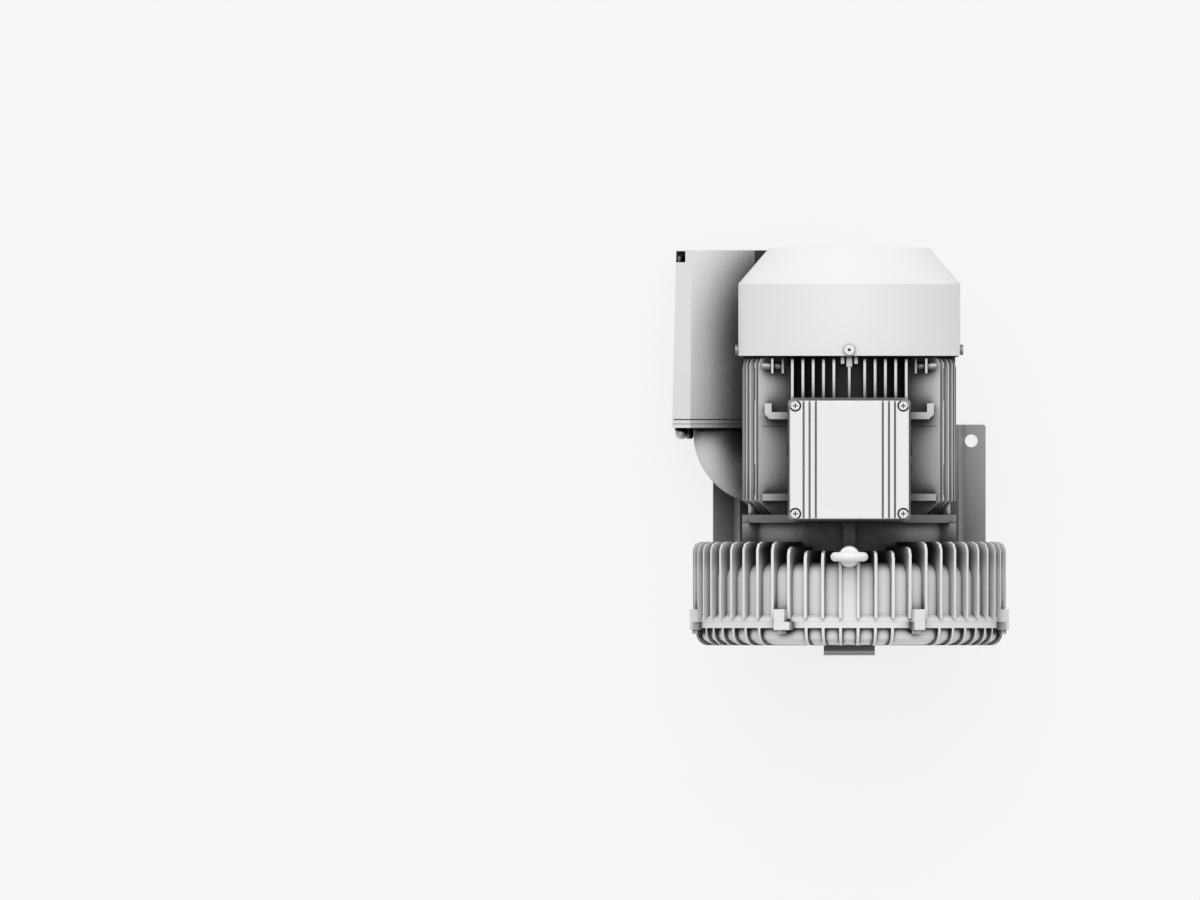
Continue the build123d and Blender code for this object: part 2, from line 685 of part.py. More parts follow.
def motor_frame():
    """Cast frame: barrel, cooling fins, terminal pedestal, side pads and hooks."""
    half = fin_thickness / 2
    low = axis_height - fin_radius - 1
    high = axis_height + fin_radius + 1
    plates = []
    for x in (0.0, *top_fin_places):
        for sx in {1, -1} if x else {1}:
            plates.append(block(sx * x - half, sx * x + half, pedestal_rear_y - 4, fin_rear_y + 1,
                                axis_height + 40, high))
    for z in side_fin_places:
        for sz in (1, -1):
            for sx in (1, -1):
                plates.append(block(sx * 40, sx * (fin_radius + 1), flange_rear_y - 1, fin_rear_y + 1,
                                    axis_height + sz * z - half, axis_height + sz * z + half))
    for sx in (1, -1):
        plates.append(block(sx * 40, sx * (fin_radius + 1), flange_rear_y - 1, fin_rear_y + 1,
                            axis_height - pad_height - half, axis_height - pad_height + half))
    for x in bottom_fin_places:
        for sx in {1, -1} if x else {1}:
            plates.append(block(sx * x - half, sx * x + half, flange_rear_y - 1, fin_rear_y + 1,
                                low, axis_height - 40))
    fins = (Part() + plates) & fin_envelope()
    barrel = tube(frame_inner_radius, frame_inner_radius + frame_wall, flange_rear_y, frame_rear_y)
    pedestal = block(-pedestal_half_width, pedestal_half_width, flange_rear_y, pedestal_rear_y,
                     axis_height + pad_height - 4, box_floor_z)
    extras = [pedestal]
    pad_z = axis_height + pad_height
    for sx in (1, -1):
        inner = sx * (pedestal_half_width - 2)
        extras += [side_pad(sx), *cable_hook(sx),
                   block(inner, sx * (pad_reach - 4), web_y, web_y + web_thickness, pad_z - 1,
                         pad_z + web_height)]
        for x in clamp_places:
            extras.append(block(sx * x, sx * (x + clamp_thickness), clamp_y - clamp_half_depth,
                                clamp_y + clamp_half_depth, pad_z - 1, pad_z + 2 * clamp_half_depth))
    for angle in flange_bolt_angles:
        x, z = at_radius(flange_bolt_circle, angle)
        extras.append(bar_y(flange_bolt, x, flange_rear_y, flange_rear_y + flange_boss_length, z))
    body = barrel + fins + extras
    cuts = [bar_z(18.0, 0, (flange_rear_y + pedestal_rear_y) / 2, axis_height + 40, box_floor_z + 1),
            drum(frame_inner_radius, flange_rear_y - 1, frame_rear_y + 1)]
    boss = block(-cowl_boss_half_width - 1, cowl_boss_half_width + 1, frame_rear_y, fin_rear_y + 1,
                 axis_height + frame_inner_radius + frame_wall, axis_height + fin_radius + 2)
    cuts += [about_axis(boss, turn) for turn in (0, 90, 180, 270)]
    cuts.append(drum(shield_space, frame_rear_y, fin_rear_y + 1))
    notch_fin_z = axis_height + side_fin_places[-1]
    for sx in (1, -1):
        for y0, y1 in notch_places:
            cuts.append(block(sx * (fin_radius - notch_depth), sx * (fin_radius + 1), y0, y1,
                              notch_fin_z - fin_thickness, notch_fin_z + fin_thickness))
        cuts.append(block(sx * (pedestal_half_width + 4), sx * (pad_reach - 4), pad_groove_y - 0.3,
                          pad_groove_y + 0.3, pad_z - 0.4, pad_z + 1))
        cuts.append(clamp_bore(sx, clamp_screw / 2 + shaft_gap))
    for angle in flange_bolt_angles:
        x, z = at_radius(flange_bolt_circle, angle)
        cuts.append(bar_y(flange_bolt / 2, x, flange_rear_y - 1, flange_rear_y + flange_boss_length - 3, z))
    for angle in shield_screw_angles:
        x, z = at_radius(shield_screw_circle, angle)
        cuts.append(bar_y(shield_bolt / 2, x, frame_rear_y - 14, frame_rear_y + 1, z))
    for sx in (1, -1):
        for y in box_foot_screw_places:
            cuts.append(bar_z(2.5, sx * box_foot_screw_x, y, box_floor_z - 12, box_floor_z + 1))
    return body - cuts


def side_studs():
    """The clamp screws lying across both side pads behind the hooks."""
    return [clamp_bore(side, clamp_screw / 2) for side in (-1, 1)]


def rear_shield():
    """End shield with the rear bearing seat and four arms for the cowl screws."""
    plate_rear = frame_rear_y + shield_thickness
    hub_rear = rear_bearing_y + rear_bearing[2] + 5
    disc = frame_inner_radius + frame_wall
    spigot = frame_inner_radius - shaft_gap
    body = turned([
        (15, frame_rear_y), (spigot - 6, frame_rear_y), (spigot - 6, frame_rear_y - 4),
        (spigot, frame_rear_y - 4), (spigot, frame_rear_y), (disc, frame_rear_y), (disc, plate_rear),
        (36, plate_rear), (34, hub_rear), (15, hub_rear)])
    top = axis_height + cowl_radius - cowl_wall - 3
    arm = block(-cowl_stem_half_width, cowl_stem_half_width, frame_rear_y, cowl_screw_y + 6,
                axis_height + disc - 4, top)
    for side in (-1, 1):
        arm += block(side * (cowl_boss_half_width - cowl_ear), side * cowl_boss_half_width, cowl_ear_front,
                     cowl_screw_y + 6, axis_height + disc - 4, top)
    arm += bar_z(cowl_boss_half_width - 1, 0, cowl_screw_y, axis_height + disc - 4, axis_height + cowl_radius)
    arm &= drum(cowl_radius - cowl_wall, frame_rear_y - 1, cowl_screw_y + cowl_boss_half_width)
    body += [about_axis(arm, turn) for turn in (0, 90, 180, 270)]
    cuts = [drum(rear_bearing[1] + shaft_gap, frame_rear_y - 1, rear_bearing_y + rear_bearing[2] + 1.5)]
    hole = bar_z(cowl_screw / 2, 0, cowl_screw_y, axis_height + cowl_radius - 16, axis_height + cowl_radius)
    cuts += [about_axis(hole, turn) for turn in (0, 90, 180, 270)]
    for angle in shield_screw_angles:
        x, z = at_radius(shield_screw_circle, angle)
        cuts.append(bar_y(shield_bolt / 2 + seat_gap, x, frame_rear_y - 5, plate_rear + 1, z))
    return body - cuts


def fan_cowl():
    """Spun sheet cowl with a slotted intake in its rear face."""
    slope = math.atan2(cowl_radius - cowl_rear_radius, cowl_rear_y - cowl_shoulder_y)
    lift = cowl_wall * math.tan(slope / 2)
    rear_inner = cowl_rear_radius - cowl_wall * math.tan((math.pi / 2 - slope) / 2)
    body = turned([
        (0, cowl_rear_y), (cowl_rear_radius, cowl_rear_y), (cowl_radius, cowl_shoulder_y),
        (cowl_radius, cowl_front_y), (cowl_radius - cowl_wall, cowl_front_y),
        (cowl_radius - cowl_wall, cowl_shoulder_y - lift), (rear_inner, cowl_rear_y - cowl_wall),
        (0, cowl_rear_y - cowl_wall)])
    cuts = []
    ring_pitch = (cowl_rear_radius - 24) / grille_rings
    for ring in range(grille_rings):
        inner = 18 + ring * ring_pitch
        slot = revolve(MERIDIAN * make_face(Polyline(
            (inner, cowl_rear_y - cowl_wall - 1), (inner + ring_pitch - 5, cowl_rear_y - cowl_wall - 1),
            (inner + ring_pitch - 5, cowl_rear_y + 1), (inner, cowl_rear_y + 1), close=True)),
            MOTOR_AXIS, 360 / grille_spokes - math.degrees(6 / inner))
        first = math.degrees(3 / inner)
        cuts += [about_axis(slot, first + i * 360 / grille_spokes) for i in range(grille_spokes)]
    hole = bar_z(cowl_screw / 2 + seat_gap, 0, cowl_screw_y, axis_height + cowl_radius - 5,
                 axis_height + cowl_radius + 1)
    cuts += [about_axis(hole, turn) for turn in (0, 90, 180, 270)]
    return body - cuts


def cowl_screws():
    screw = facing(0, cowl_screw_y, axis_height + cowl_radius, (0, 0, 1)) * socket_screw(
        cowl_screw, 12, 5.2, 3.0, 3.0)
    return [about_axis(screw, turn) for turn in (0, 90, 180, 270)]


# ------------------------------------------------------------------ terminal box
def lid_screw_places():
    return [(sx * lid_screw_x, y) for sx in (-1, 1)
            for y in (box_front_y + lid_screw_inset, box_rear_y - lid_screw_inset)]


def rounded_block(x0, x1, y0, y1, z0, z1, radius):
    """A box whose upright edges are rounded."""
    body = block(x0, x1, y0, y1, z0, z1)
    return fillet(body.edges().filter_by(Axis.Z), radius)


def terminal_box():
    body = rounded_block(-box_half_width, box_half_width, box_front_y, box_rear_y, box_floor_z, box_rim_z,
                         box_corner)
    hollow = block(-box_half_width + box_wall, box_half_width - box_wall, box_front_y + box_wall,
                   box_rear_y - box_wall, box_floor_z + 4, box_rim_z + 1)
    posts = [bar_z(5.5, x, y, box_floor_z, box_rim_z) for x, y in lid_screw_places()]
    body = body - hollow + posts
    cuts = [bar_z(16.0, 0, (flange_rear_y + pedestal_rear_y) / 2, box_floor_z - 1, box_floor_z + 5)]
    cuts += [bar_z(lid_screw / 2, x, y, box_rim_z - 14, box_rim_z + 1) for x, y in lid_screw_places()]
    for side in (-1, 1):
        for y in entry_places:
            cuts.append(bar_x(entry_radius, side * (box_half_width + 1), side * (box_half_width - box_wall - 1),
                              y, entry_z))
        for y in box_foot_screw_places:
            cuts.append(bar_z(2.8, side * box_foot_screw_x, y, box_floor_z - 1, box_floor_z + 5))
    return body - cuts


def entry_plugs():
    """Blanking plugs in the four cable entries."""
    plugs = []
    for side in (-1, 1):
        for y in entry_places:
            wall_x = side * box_half_width
            stem = bar_x(entry_radius - shaft_gap, wall_x, wall_x - side * 6, y, entry_z)
            head = bar_x(entry_radius + 2, wall_x, wall_x + side * 1.2, y, entry_z)
            plugs.append(stem + head)
    return plugs


def terminal_gasket():
    x = box_half_width - lid_inset
    y0 = box_front_y + lid_inset
    y1 = box_rear_y - lid_inset
    outer = rounded_block(-x, x, y0, y1, box_rim_z, lid_base_z, box_corner)
    inner = block(-x + 6, x - 6, y0 + 12, y1 - 12, box_rim_z - 1, lid_base_z + 1)
    return outer - inner - [bar_z(lid_screw / 2 + seat_gap, px, py, box_rim_z - 1, lid_base_z + 1)
                            for px, py in lid_screw_places()]


def terminal_lid():
    """Cast lid with three shallow grooves along each side and sunk corner screws."""
    x = box_half_width - lid_inset
    y0 = box_front_y + lid_inset
    y1 = box_rear_y - lid_inset
    body = rounded_block(-x, x, y0, y1, lid_base_z, lid_top_z, box_corner)
    body = chamfer(body.faces().sort_by(Axis.Z)[-1].edges(), 1.0)
    cuts = [block(-x + 8, x - 8, y0 + 14, y1 - 14, lid_base_z - 1, lid_top_z - 4)]
    for place in lid_groove_places:
        for sx in (-1, 1):
            cuts.append(block(sx * place - lid_groove_width / 2, sx * place + lid_groove_width / 2,
                              y0 - 1, y1 + 1, lid_top_z - lid_groove_depth, lid_top_z + 1))
    for px, py in lid_screw_places():
        cuts.append(bar_z(6.0, px, py, lid_top_z - 3, lid_top_z + 1))
        cuts.append(bar_z(lid_screw / 2 + seat_gap, px, py, lid_base_z - 1, lid_top_z))
    return body - cuts


def lid_screws():
    """Pan-head screws with a cross recess."""
    screws = []
    for px, py in lid_screw_places():
        seat = lid_top_z - 3
        shank = bar_z(lid_screw / 2 - shaft_gap, px, py, box_rim_z - 11, seat)
        head = bar_z(4.2, px, py, seat, seat + 2.6)
        cross = [block(px - 2.4, px + 2.4, py - 0.6, py + 0.6, seat + 1.2, seat + 3),
                 block(px - 0.6, px + 0.6, py - 2.4, py + 2.4, seat + 1.2, seat + 3)]
        screws.append(shank + head - cross)
    return screws


def terminal_board():
    return block(-board_half[0], board_half[0], board_y - board_half[1], board_y + board_half[1],
                 box_floor_z + 4, box_floor_z + 4 + board_thickness)


def terminal_studs():
    """Six studs with their nuts, in two rows."""
    seat = box_floor_z + 4 + board_thickness
    studs = []
    for x in (-stud_pitch[0], 0, stud_pitch[0]):
        for y in (board_y - stud_pitch[1] / 2, board_y + stud_pitch[1] / 2):
            studs.append(bar_z(2.5, x, y, seat, seat + stud_height) + Pos(x, y, seat) * hexagon(8, 4))
    return studs


# ------------------------------------------------------------------ lifting eye
def lifting_eye():
    """Eye bolt: collar, ring standing across the motor axis, and thread."""
    seat = axis_height + eye_seat_radius
    ring_z = seat + eye_ring + eye_section + 1
    section = Plane.XY * (Pos(eye_ring, eye_y) * RegularPolygon(eye_section, 2 * curve_steps))
    ring = Pos(0, 0, ring_z) * revolve(section, Axis((0, eye_y, 0), (0, 1, 0)))
    collar = bar_z(eye_collar, 0, eye_y, seat, seat + 4)
    neck = Pos(0, eye_y, seat + 5.5) * Cone(eye_collar, 6.0, 3.0)
    thread = bar_z(eye_thread / 2 - shaft_gap, 0, eye_y, seat - eye_thread_length, seat)
    return ring + collar + neck + thread


# ------------------------------------------------------------------ elbow and silencer
def bent_pipe(radius, start_x, end_y):
    """A solid bend made of straight lengths mitred along the arc."""
    centre = (-elbow_start_x, port_y + elbow_bend)
    step = math.pi / 2 / elbow_parts
    reach = elbow_bend / math.cos(step / 2)
    corners = [(start_x, port_y)]
    for i in range(elbow_parts):
        turn = (i + 0.5) * step
        corners.append((centre[0] - reach * math.sin(turn), centre[1] - reach * math.cos(turn)))
    corners.append((silencer_x, end_y))
    path = Polyline(*[(x, y, port_height) for x, y in corners])
    face = Plane(origin=(start_x, port_y, port_height), z_dir=(-1, 0, 0)) * Circle(radius)
    return sweep(face, path, transition=Transition.RIGHT)


def elbow():
    """Cast bend from the left port into the silencer, with its bolting flange."""
    face_x = -(port_block_half_width + 1.5)
    outer = bent_pipe(elbow_radius, face_x, silencer_front_y)
    inner = bent_pipe(elbow_radius - elbow_wall, face_x + 1, silencer_front_y + 1)
    plate = block(face_x, face_x - elbow_flange, port_y - elbow_flange_half, port_y + elbow_flange_half,
                  port_height - elbow_flange_half, port_height + elbow_flange_half)
    plate = fillet(plate.edges().filter_by(Axis.X), 5)
    spigot = bar_y(elbow_radius - 1, silencer_x, silencer_front_y, silencer_front_y + 6, port_height)
    spigot_bore = bar_y(elbow_radius - elbow_wall, silencer_x, silencer_front_y - 1, silencer_front_y + 7,
                        port_height)
    body = outer + plate + spigot - inner - spigot_bore
    return body - [bar_x(port_bolt / 2 + seat_gap, face_x + 1, face_x - elbow_flange - 1, port_y + dy,
                         port_height + dz) for dy, dz in port_bolt_offsets]


def elbow_gasket():
    face_x = -port_block_half_width
    plate = block(face_x, face_x - 1.5, port_y - elbow_flange_half, port_y + elbow_flange_half,
                  port_height - elbow_flange_half, port_height + elbow_flange_half)
    cuts = [bar_x(elbow_radius - elbow_wall, face_x + 1, face_x - 3, port_y, port_height)]
    cuts += [bar_x(port_bolt / 2 + seat_gap, face_x + 1, face_x - 3, port_y + dy, port_height + dz)
             for dy, dz in port_bolt_offsets]
    return plate - cuts


def elbow_bolts():
    seat_x = -(port_block_half_width + 1.5 + elbow_flange)
    grip = 1.5 + elbow_flange + port_bolt_depth - 1
    return [facing(seat_x, port_y + dy, port_height + dz, (-1, 0, 0)) * hex_bolt(port_bolt, grip)
            for dy, dz in port_bolt_offsets]


def silencer_section(grow, y):
    """The silencer's eight-sided outline on a plane across Y."""
    half_w = silencer_half_width - grow
    half_h = silencer_half_height - grow
    cut = silencer_chamfer - grow * 0.586
    points = []
    for sx, sz in ((1, 1), (-1, 1), (-1, -1), (1, -1)):
        a = (sx * half_w, sz * (half_h - cut))
        b = (sx * (half_w - cut), sz * half_h)
        points += [a, b] if sx * sz > 0 else [b, a]
    plane = Plane(origin=(silencer_x, y, port_height), x_dir=(1, 0, 0), z_dir=(0, -1, 0))
    return plane * make_face(Polyline(*points, close=True))


def tie_places():
    return [(silencer_x + sx * x, port_height + z) for sx in (-1, 1) for x, z in zip(tie_x, tie_z)]


def silencer_housing():
    """Drawn case with draft towards the rear, outlet boss and notches for the tie-bolt ends."""
    outer = loft([silencer_section(0, silencer_body_y), silencer_section(silencer_draft, silencer_rear_y)])
    inner = loft([silencer_section(silencer_wall, silencer_body_y),
                  silencer_section(silencer_draft + silencer_wall, silencer_rear_y - 12)])
    inner = inner & block(-300, 0, silencer_body_y - 1, silencer_rear_y - 12, -10, 200)
    boss = bar_y(port_radius + 6, silencer_x, silencer_rear_y - 14, silencer_rear_y, port_height)
    body = outer - inner + boss
    cuts = [bar_y(port_radius, silencer_x, silencer_rear_y - 15, silencer_rear_y + 1, port_height)]
    for x, z in tie_places():
        cuts.append(bar_y(tie_bolt / 2 + seat_gap, x, silencer_body_y - 1, silencer_rear_y - 5, z))
    side = silencer_x - silencer_half_width - 1
    cuts.append(block(side, side + 14, notch_front_y, notch_rear_y, port_height + tie_z[0] - 4,
                      port_height + silencer_half_height))
    return body - cuts


def silencer_cap_plate():
    """Front cap that the elbow plugs into."""
    steps = [(0.0, silencer_front_y, cap_groove_y - cap_groove / 2),
             (cap_groove, cap_groove_y - cap_groove / 2, cap_groove_y + cap_groove / 2),
             (0.0, cap_groove_y + cap_groove / 2, silencer_body_y - cap_gasket),
             (cap_gasket, silencer_body_y - cap_gasket, silencer_body_y)]
    plate = Part() + [extrude(silencer_section(grow, y1), y1 - y0) for grow, y0, y1 in steps]
    cuts = [bar_y(elbow_radius - 1 + shaft_gap, silencer_x, silencer_front_y - 1, silencer_front_y + 6,
                  port_height),
            bar_y(liner_radius + shaft_gap, silencer_x, silencer_front_y + 5, silencer_body_y + 1, port_height)]
    for x, z in tie_places():
        cuts.append(bar_y(tie_bolt / 2 + seat_gap, x, silencer_front_y - 1, silencer_body_y + 1, z))
    return plate - cuts


def tie_bolts():
    """Long bolts that clamp the silencer, with a domed nut on each front end."""
    bolts = []
    for x, z in tie_places():
        rod = bar_y(tie_bolt / 2, x, silencer_front_y - 2, silencer_rear_y - 6, z)
        nut = facing(x, silencer_front_y, z, (0, -1, 0)) * hexagon(11, 6.5)
        dome = facing(x, silencer_front_y - 6.5, z, (0, -1, 0)) * Pos(0, 0, 2.2) * Cone(5.4, 3.0, 4.4)
        bolts.append(rod + nut + dome)
    return bolts


def silencer_liner():
    """Perforated tube between the cap and the outlet."""
    y1 = silencer_rear_y - 14
    body = bar_y(liner_radius, silencer_x, silencer_front_y + 6, y1, port_height) \
        - bar_y(liner_radius - liner_wall, silencer_x, silencer_front_y + 5, y1 + 1, port_height)
    return body


def silencer_foam():
    y1 = silencer_rear_y - 14
    return bar_y(foam_radius, silencer_x, silencer_body_y + 2, y1, port_height) \
        - bar_y(liner_radius + seat_gap, silencer_x, silencer_body_y, y1 + 1, port_height)


# ------------------------------------------------------------------ foot
def foot_bracket():
    """Bent sheet: raised middle, two floor wings and a turned-down front tab."""
    t = foot_sheet
    top = foot_crown
    points = [
        (-foot_half_width, 0), (-foot_bend_out + t * 0.4, 0), (-foot_bend_in + t * 0.4, top - t),
        (foot_bend_in - t * 0.4, top - t), (foot_bend_out - t * 0.4, 0), (foot_half_width, 0),
        (foot_half_width, t), (foot_bend_out + t * 0.4, t), (foot_bend_in + t * 0.4, top),
        (-foot_bend_in - t * 0.4, top), (-foot_bend_out - t * 0.4, t), (-foot_half_width, t)]
    plane = Plane(origin=(0, foot_rear_y, 0), x_dir=(1, 0, 0), z_dir=(0, -1, 0))
    body = extrude(plane * make_face(Polyline(*points, close=True)), foot_rear_y - foot_front_y)
    body = fillet(body.edges().filter_by(Axis.Z).filter_by(
        lambda e: abs(abs(e.center().X) - foot_half_width) < 0.1), 2.5)
    side = Plane(origin=(-tab_half_width, 0, 0), x_dir=(0, 1, 0), z_dir=(1, 0, 0))
    tab_line = make_face(Polyline(
        (foot_front_y + 0.5, top - t), (tab_front_y + t + 1, top - t), (tab_front_y + t, top - t - 1),
        (tab_front_y + t, 0), (tab_front_y, 0), (tab_front_y, top - 4.5), (tab_front_y + 4.5, top),
        (foot_front_y + 0.5, top), close=True))
    body += extrude(side * tab_line, 2 * tab_half_width)
    cuts = [bar_z(foot_hole_radius, sx * foot_hole_x, sy * foot_hole_y, -1, t + 1)
            for sx in (-1, 1) for sy in (-1, 1)]
    cuts += [bar_z(foot_bolt / 2 + seat_gap, x, y, top - t - 1, top + 1) for x, y in foot_bolt_places()]
    return body - cuts


def foot_bolts():
    seat = foot_crown - foot_sheet
    return [facing(x, y, seat, (0, 0, -1)) * hex_bolt(foot_bolt, foot_sheet + 11)
            for x, y in foot_bolt_places()]


# ------------------------------------------------------------------ assembly
keep("casing_housing", casing_housing())
keep("casing_cover", casing_cover())
keep("casing_bolts", *casing_bolts())
keep("impeller", impeller())
keep("impeller_key", key_block(0))
keep("impeller_washer", turned([
    (4.2, shaft_front_y - 4.5), (16, shaft_front_y - 4.5), (16, shaft_front_y - 2), (4.2, shaft_front_y - 2)]))
keep("impeller_bolt", facing(0, shaft_front_y - 4.5, axis_height, (0, -1, 0)) * hex_bolt(8.0, 24))
keep("motor_shaft", motor_shaft())
keep("rotor_core", rotor_core())
keep("bearing_outer_rings", bearing_outer(front_bearing, flange_front_y - front_bearing[2]),
     bearing_outer(rear_bearing, rear_bearing_y))
keep("bearing_inner_rings", bearing_inner(front_bearing, flange_front_y - front_bearing[2]),
     bearing_inner(rear_bearing, rear_bearing_y))
washer_y = rear_bearing_y + rear_bearing[2]
keep("spring_washer", tube(rear_bearing[1] - 4, rear_bearing[1], washer_y, washer_y + spring_washer))
keep("shaft_seal", shaft_seal())
keep("stator_core", tube(stator_bore_radius, frame_inner_radius, core_start_y, core_end_y))
keep("stator_windings",
     winding_head(core_start_y - winding_overhang, core_start_y),
     winding_head(core_end_y, core_end_y + winding_overhang))
keep("motor_frame", motor_frame())
keep("flange_bolts", *[about_axis(
    facing(0, flange_front_y, axis_height + flange_bolt_circle, (0, -1, 0))
    * hex_bolt(flange_bolt, flange_thickness + 12), angle) for angle in flange_bolt_angles])
keep("side_studs", *side_studs())
keep("rear_shield", rear_shield())
keep("shield_screws", *[about_axis(
    facing(0, frame_rear_y + shield_thickness, axis_height + shield_screw_circle, (0, 1, 0))
    * socket_screw(shield_bolt, 20, 4.2, 4.0, 3.0), angle) for angle in shield_screw_angles])
keep("cooling_fan", cooling_fan())
keep("fan_clip", tube(shaft_fan_radius, shaft_fan_radius + 5, fan_rear_y - 6, fan_rear_y - 4))
keep("fan_cowl", fan_cowl())
keep("cowl_screws", *cowl_screws())
keep("terminal_box", terminal_box())
keep("terminal_box_screws", *[
    facing(side * box_foot_screw_x, y, box_floor_z + 4, (0, 0, 1)) * socket_screw(5.0, 13, 4.2, 3.4, 3.0)
    for side in (-1, 1) for y in box_foot_screw_places])
keep("entry_plugs", *entry_plugs())
keep("terminal_gasket", terminal_gasket())
keep("terminal_lid", terminal_lid())
keep("lid_screws", *lid_screws())
keep("terminal_board", terminal_board())
keep("terminal_studs", *terminal_studs())
keep("lifting_eye", lifting_eye())
keep("elbow", elbow())
keep("elbow_gasket", elbow_gasket())
keep("elbow_bolts", *elbow_bolts())
keep("silencer_housing", silencer_housing())
keep("silencer_cap", silencer_cap_plate())
keep("tie_bolts", *tie_bolts())
keep("silencer_liner", silencer_liner())
keep("silencer_foam", silencer_foam())
keep("foot_bracket", foot_bracket())
keep("foot_bolts", *foot_bolts())

for name, shape in pieces.items():
    export_step(shape, f"parts/{name}.step")
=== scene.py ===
# %% [markdown]
# # A side channel blower, seen from straight above
# The blower is a finned motor that turns a bladed wheel in a ribbed round casing. A silencer box hangs
# beside the motor and a folded sheet foot carries everything. The solids come ready made from the CAD
# model, so this lesson is about what a painter, a plater and a studio would add: surface finishes,
# softened edges, a few parts with rounder forms than the CAD holds, the light and the camera.

# %% Load the solids
import math
import bpy
import bmesh
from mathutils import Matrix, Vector


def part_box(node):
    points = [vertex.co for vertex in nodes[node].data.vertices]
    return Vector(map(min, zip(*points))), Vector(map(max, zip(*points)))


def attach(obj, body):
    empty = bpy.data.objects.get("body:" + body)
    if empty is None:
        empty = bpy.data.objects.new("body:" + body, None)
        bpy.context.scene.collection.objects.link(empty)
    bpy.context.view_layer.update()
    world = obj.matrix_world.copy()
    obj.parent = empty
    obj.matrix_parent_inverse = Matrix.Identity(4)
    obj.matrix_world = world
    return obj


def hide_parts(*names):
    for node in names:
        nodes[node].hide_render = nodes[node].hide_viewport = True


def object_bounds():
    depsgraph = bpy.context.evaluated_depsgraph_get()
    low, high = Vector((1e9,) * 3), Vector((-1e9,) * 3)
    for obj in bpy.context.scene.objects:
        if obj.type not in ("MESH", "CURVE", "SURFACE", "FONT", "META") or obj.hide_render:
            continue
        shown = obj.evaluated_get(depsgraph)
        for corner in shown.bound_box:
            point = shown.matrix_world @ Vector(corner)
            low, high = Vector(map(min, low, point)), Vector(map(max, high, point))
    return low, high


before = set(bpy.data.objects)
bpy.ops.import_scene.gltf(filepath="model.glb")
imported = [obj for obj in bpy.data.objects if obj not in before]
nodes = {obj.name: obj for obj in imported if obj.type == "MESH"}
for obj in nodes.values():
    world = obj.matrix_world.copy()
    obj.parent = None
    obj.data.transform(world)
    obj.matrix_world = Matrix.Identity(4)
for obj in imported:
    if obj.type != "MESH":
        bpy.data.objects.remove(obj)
cad_low, cad_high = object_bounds()
cad_size = Vector(cad_high) - Vector(cad_low)
print("solids:", len(nodes), "size in mm:", [round(1000 * side) for side in cad_size])

# %% [markdown]
# ## Camera
# The camera looks straight down on the machine and sees every upright wall edge on, as a drawing does.
# A perspective lens would lean the tall parts outwards, most of all because the machine stands right of
# the frame's middle. An orthographic camera has no vanishing point, so it is the honest choice here.
# With no rotation a Blender camera looks down -Z and has +Y at the top of the frame.

# %% Camera
picture_width = 1.2
picture_centre = (-0.2493, 0.0808)
camera_height = 2.0
camera_data = bpy.data.cameras.new("overhead_lens")
camera_data.type = "ORTHO"
camera_data.ortho_scale = picture_width
camera_data.clip_end = 5 * camera_height
camera = bpy.data.objects.new("overhead_camera", camera_data)
camera.location = (*picture_centre, camera_height)
bpy.context.scene.collection.objects.link(camera)
bpy.context.scene.camera = camera
print("picture width in metres:", camera_data.ortho_scale)

# %% [markdown]
# ## Light
# Product pictures of grey castings are usually lit by one large soft source over a pale table. Here the
# sky does most of that work: it is bright overhead and dim at the horizon, so a surface gets darker as it
# turns away from the ceiling. One broad sun leans in from behind the fan cowl and gives the round bodies
# a lighter side. The view transform is Standard, because the default film curve turns a white table grey.

# %% Light
scene = bpy.context.scene
scene.view_settings.view_transform = "Standard"
scene.view_settings.look = "None"
zenith_light = 0.72
horizon_light = 0.10
sky_tint = (0.985, 0.993, 1.0, 1.0)
sun_strength = 1.5
sun_spread = math.radians(60)
sun_tilt = (math.radians(-35), math.radians(-3), 0)

sky = bpy.data.worlds.new("soft_sky")
sky.use_nodes = True
sky_nodes = sky.node_tree.nodes
sky_links = sky.node_tree.links
direction = sky_nodes.new("ShaderNodeTexCoord")
height = sky_nodes.new("ShaderNodeSeparateXYZ")
level = sky_nodes.new("ShaderNodeMapRange")
level.inputs["To Min"].default_value = horizon_light
level.inputs["To Max"].default_value = zenith_light
sky_links.new(direction.outputs["Generated"], height.inputs["Vector"])
sky_links.new(height.outputs["Z"], level.inputs["Value"])
sky_links.new(level.outputs["Result"], sky_nodes["Background"].inputs["Strength"])
sky_nodes["Background"].inputs["Color"].default_value = sky_tint
scene.world = sky

lamp_data = bpy.data.lights.new("broad_softbox", "SUN")
lamp_data.energy = sun_strength
lamp_data.angle = sun_spread
softbox = bpy.data.objects.new("broad_softbox", lamp_data)
softbox.rotation_euler = sun_tilt
scene.collection.objects.link(softbox)
print("sky from", horizon_light, "to", zenith_light, "and one sun of", sun_strength)

# %% [markdown]
# ## Small helpers
# Every surface in this lesson is a tree of nodes, and the same few steps come back in all of them: a noise,
# a colour ramp, a change of range, a product of two colours, a bump. Each step gets a short function, so
# that a recipe reads as a list of steps. A noise is never quite 0 or 1: nearly all of it lies between 0.3
# and 0.7, so that is the range to stretch when it has to drive something.

# %% Useful range of a noise
noise_low = 0.3
noise_high = 0.7
print("noise is stretched from", noise_low, "to", noise_high)


# %% Helpers for node trees
def new_finish(name):
    """A material, its nodes, its links, its shader and the place of each point in metres."""
    finish = bpy.data.materials.new(name)
    finish.use_nodes = True
    tree_nodes = finish.node_tree.nodes
    place = tree_nodes.new("ShaderNodeTexCoord").outputs["Object"]
    return finish, tree_nodes, finish.node_tree.links, tree_nodes["Principled BSDF"], place


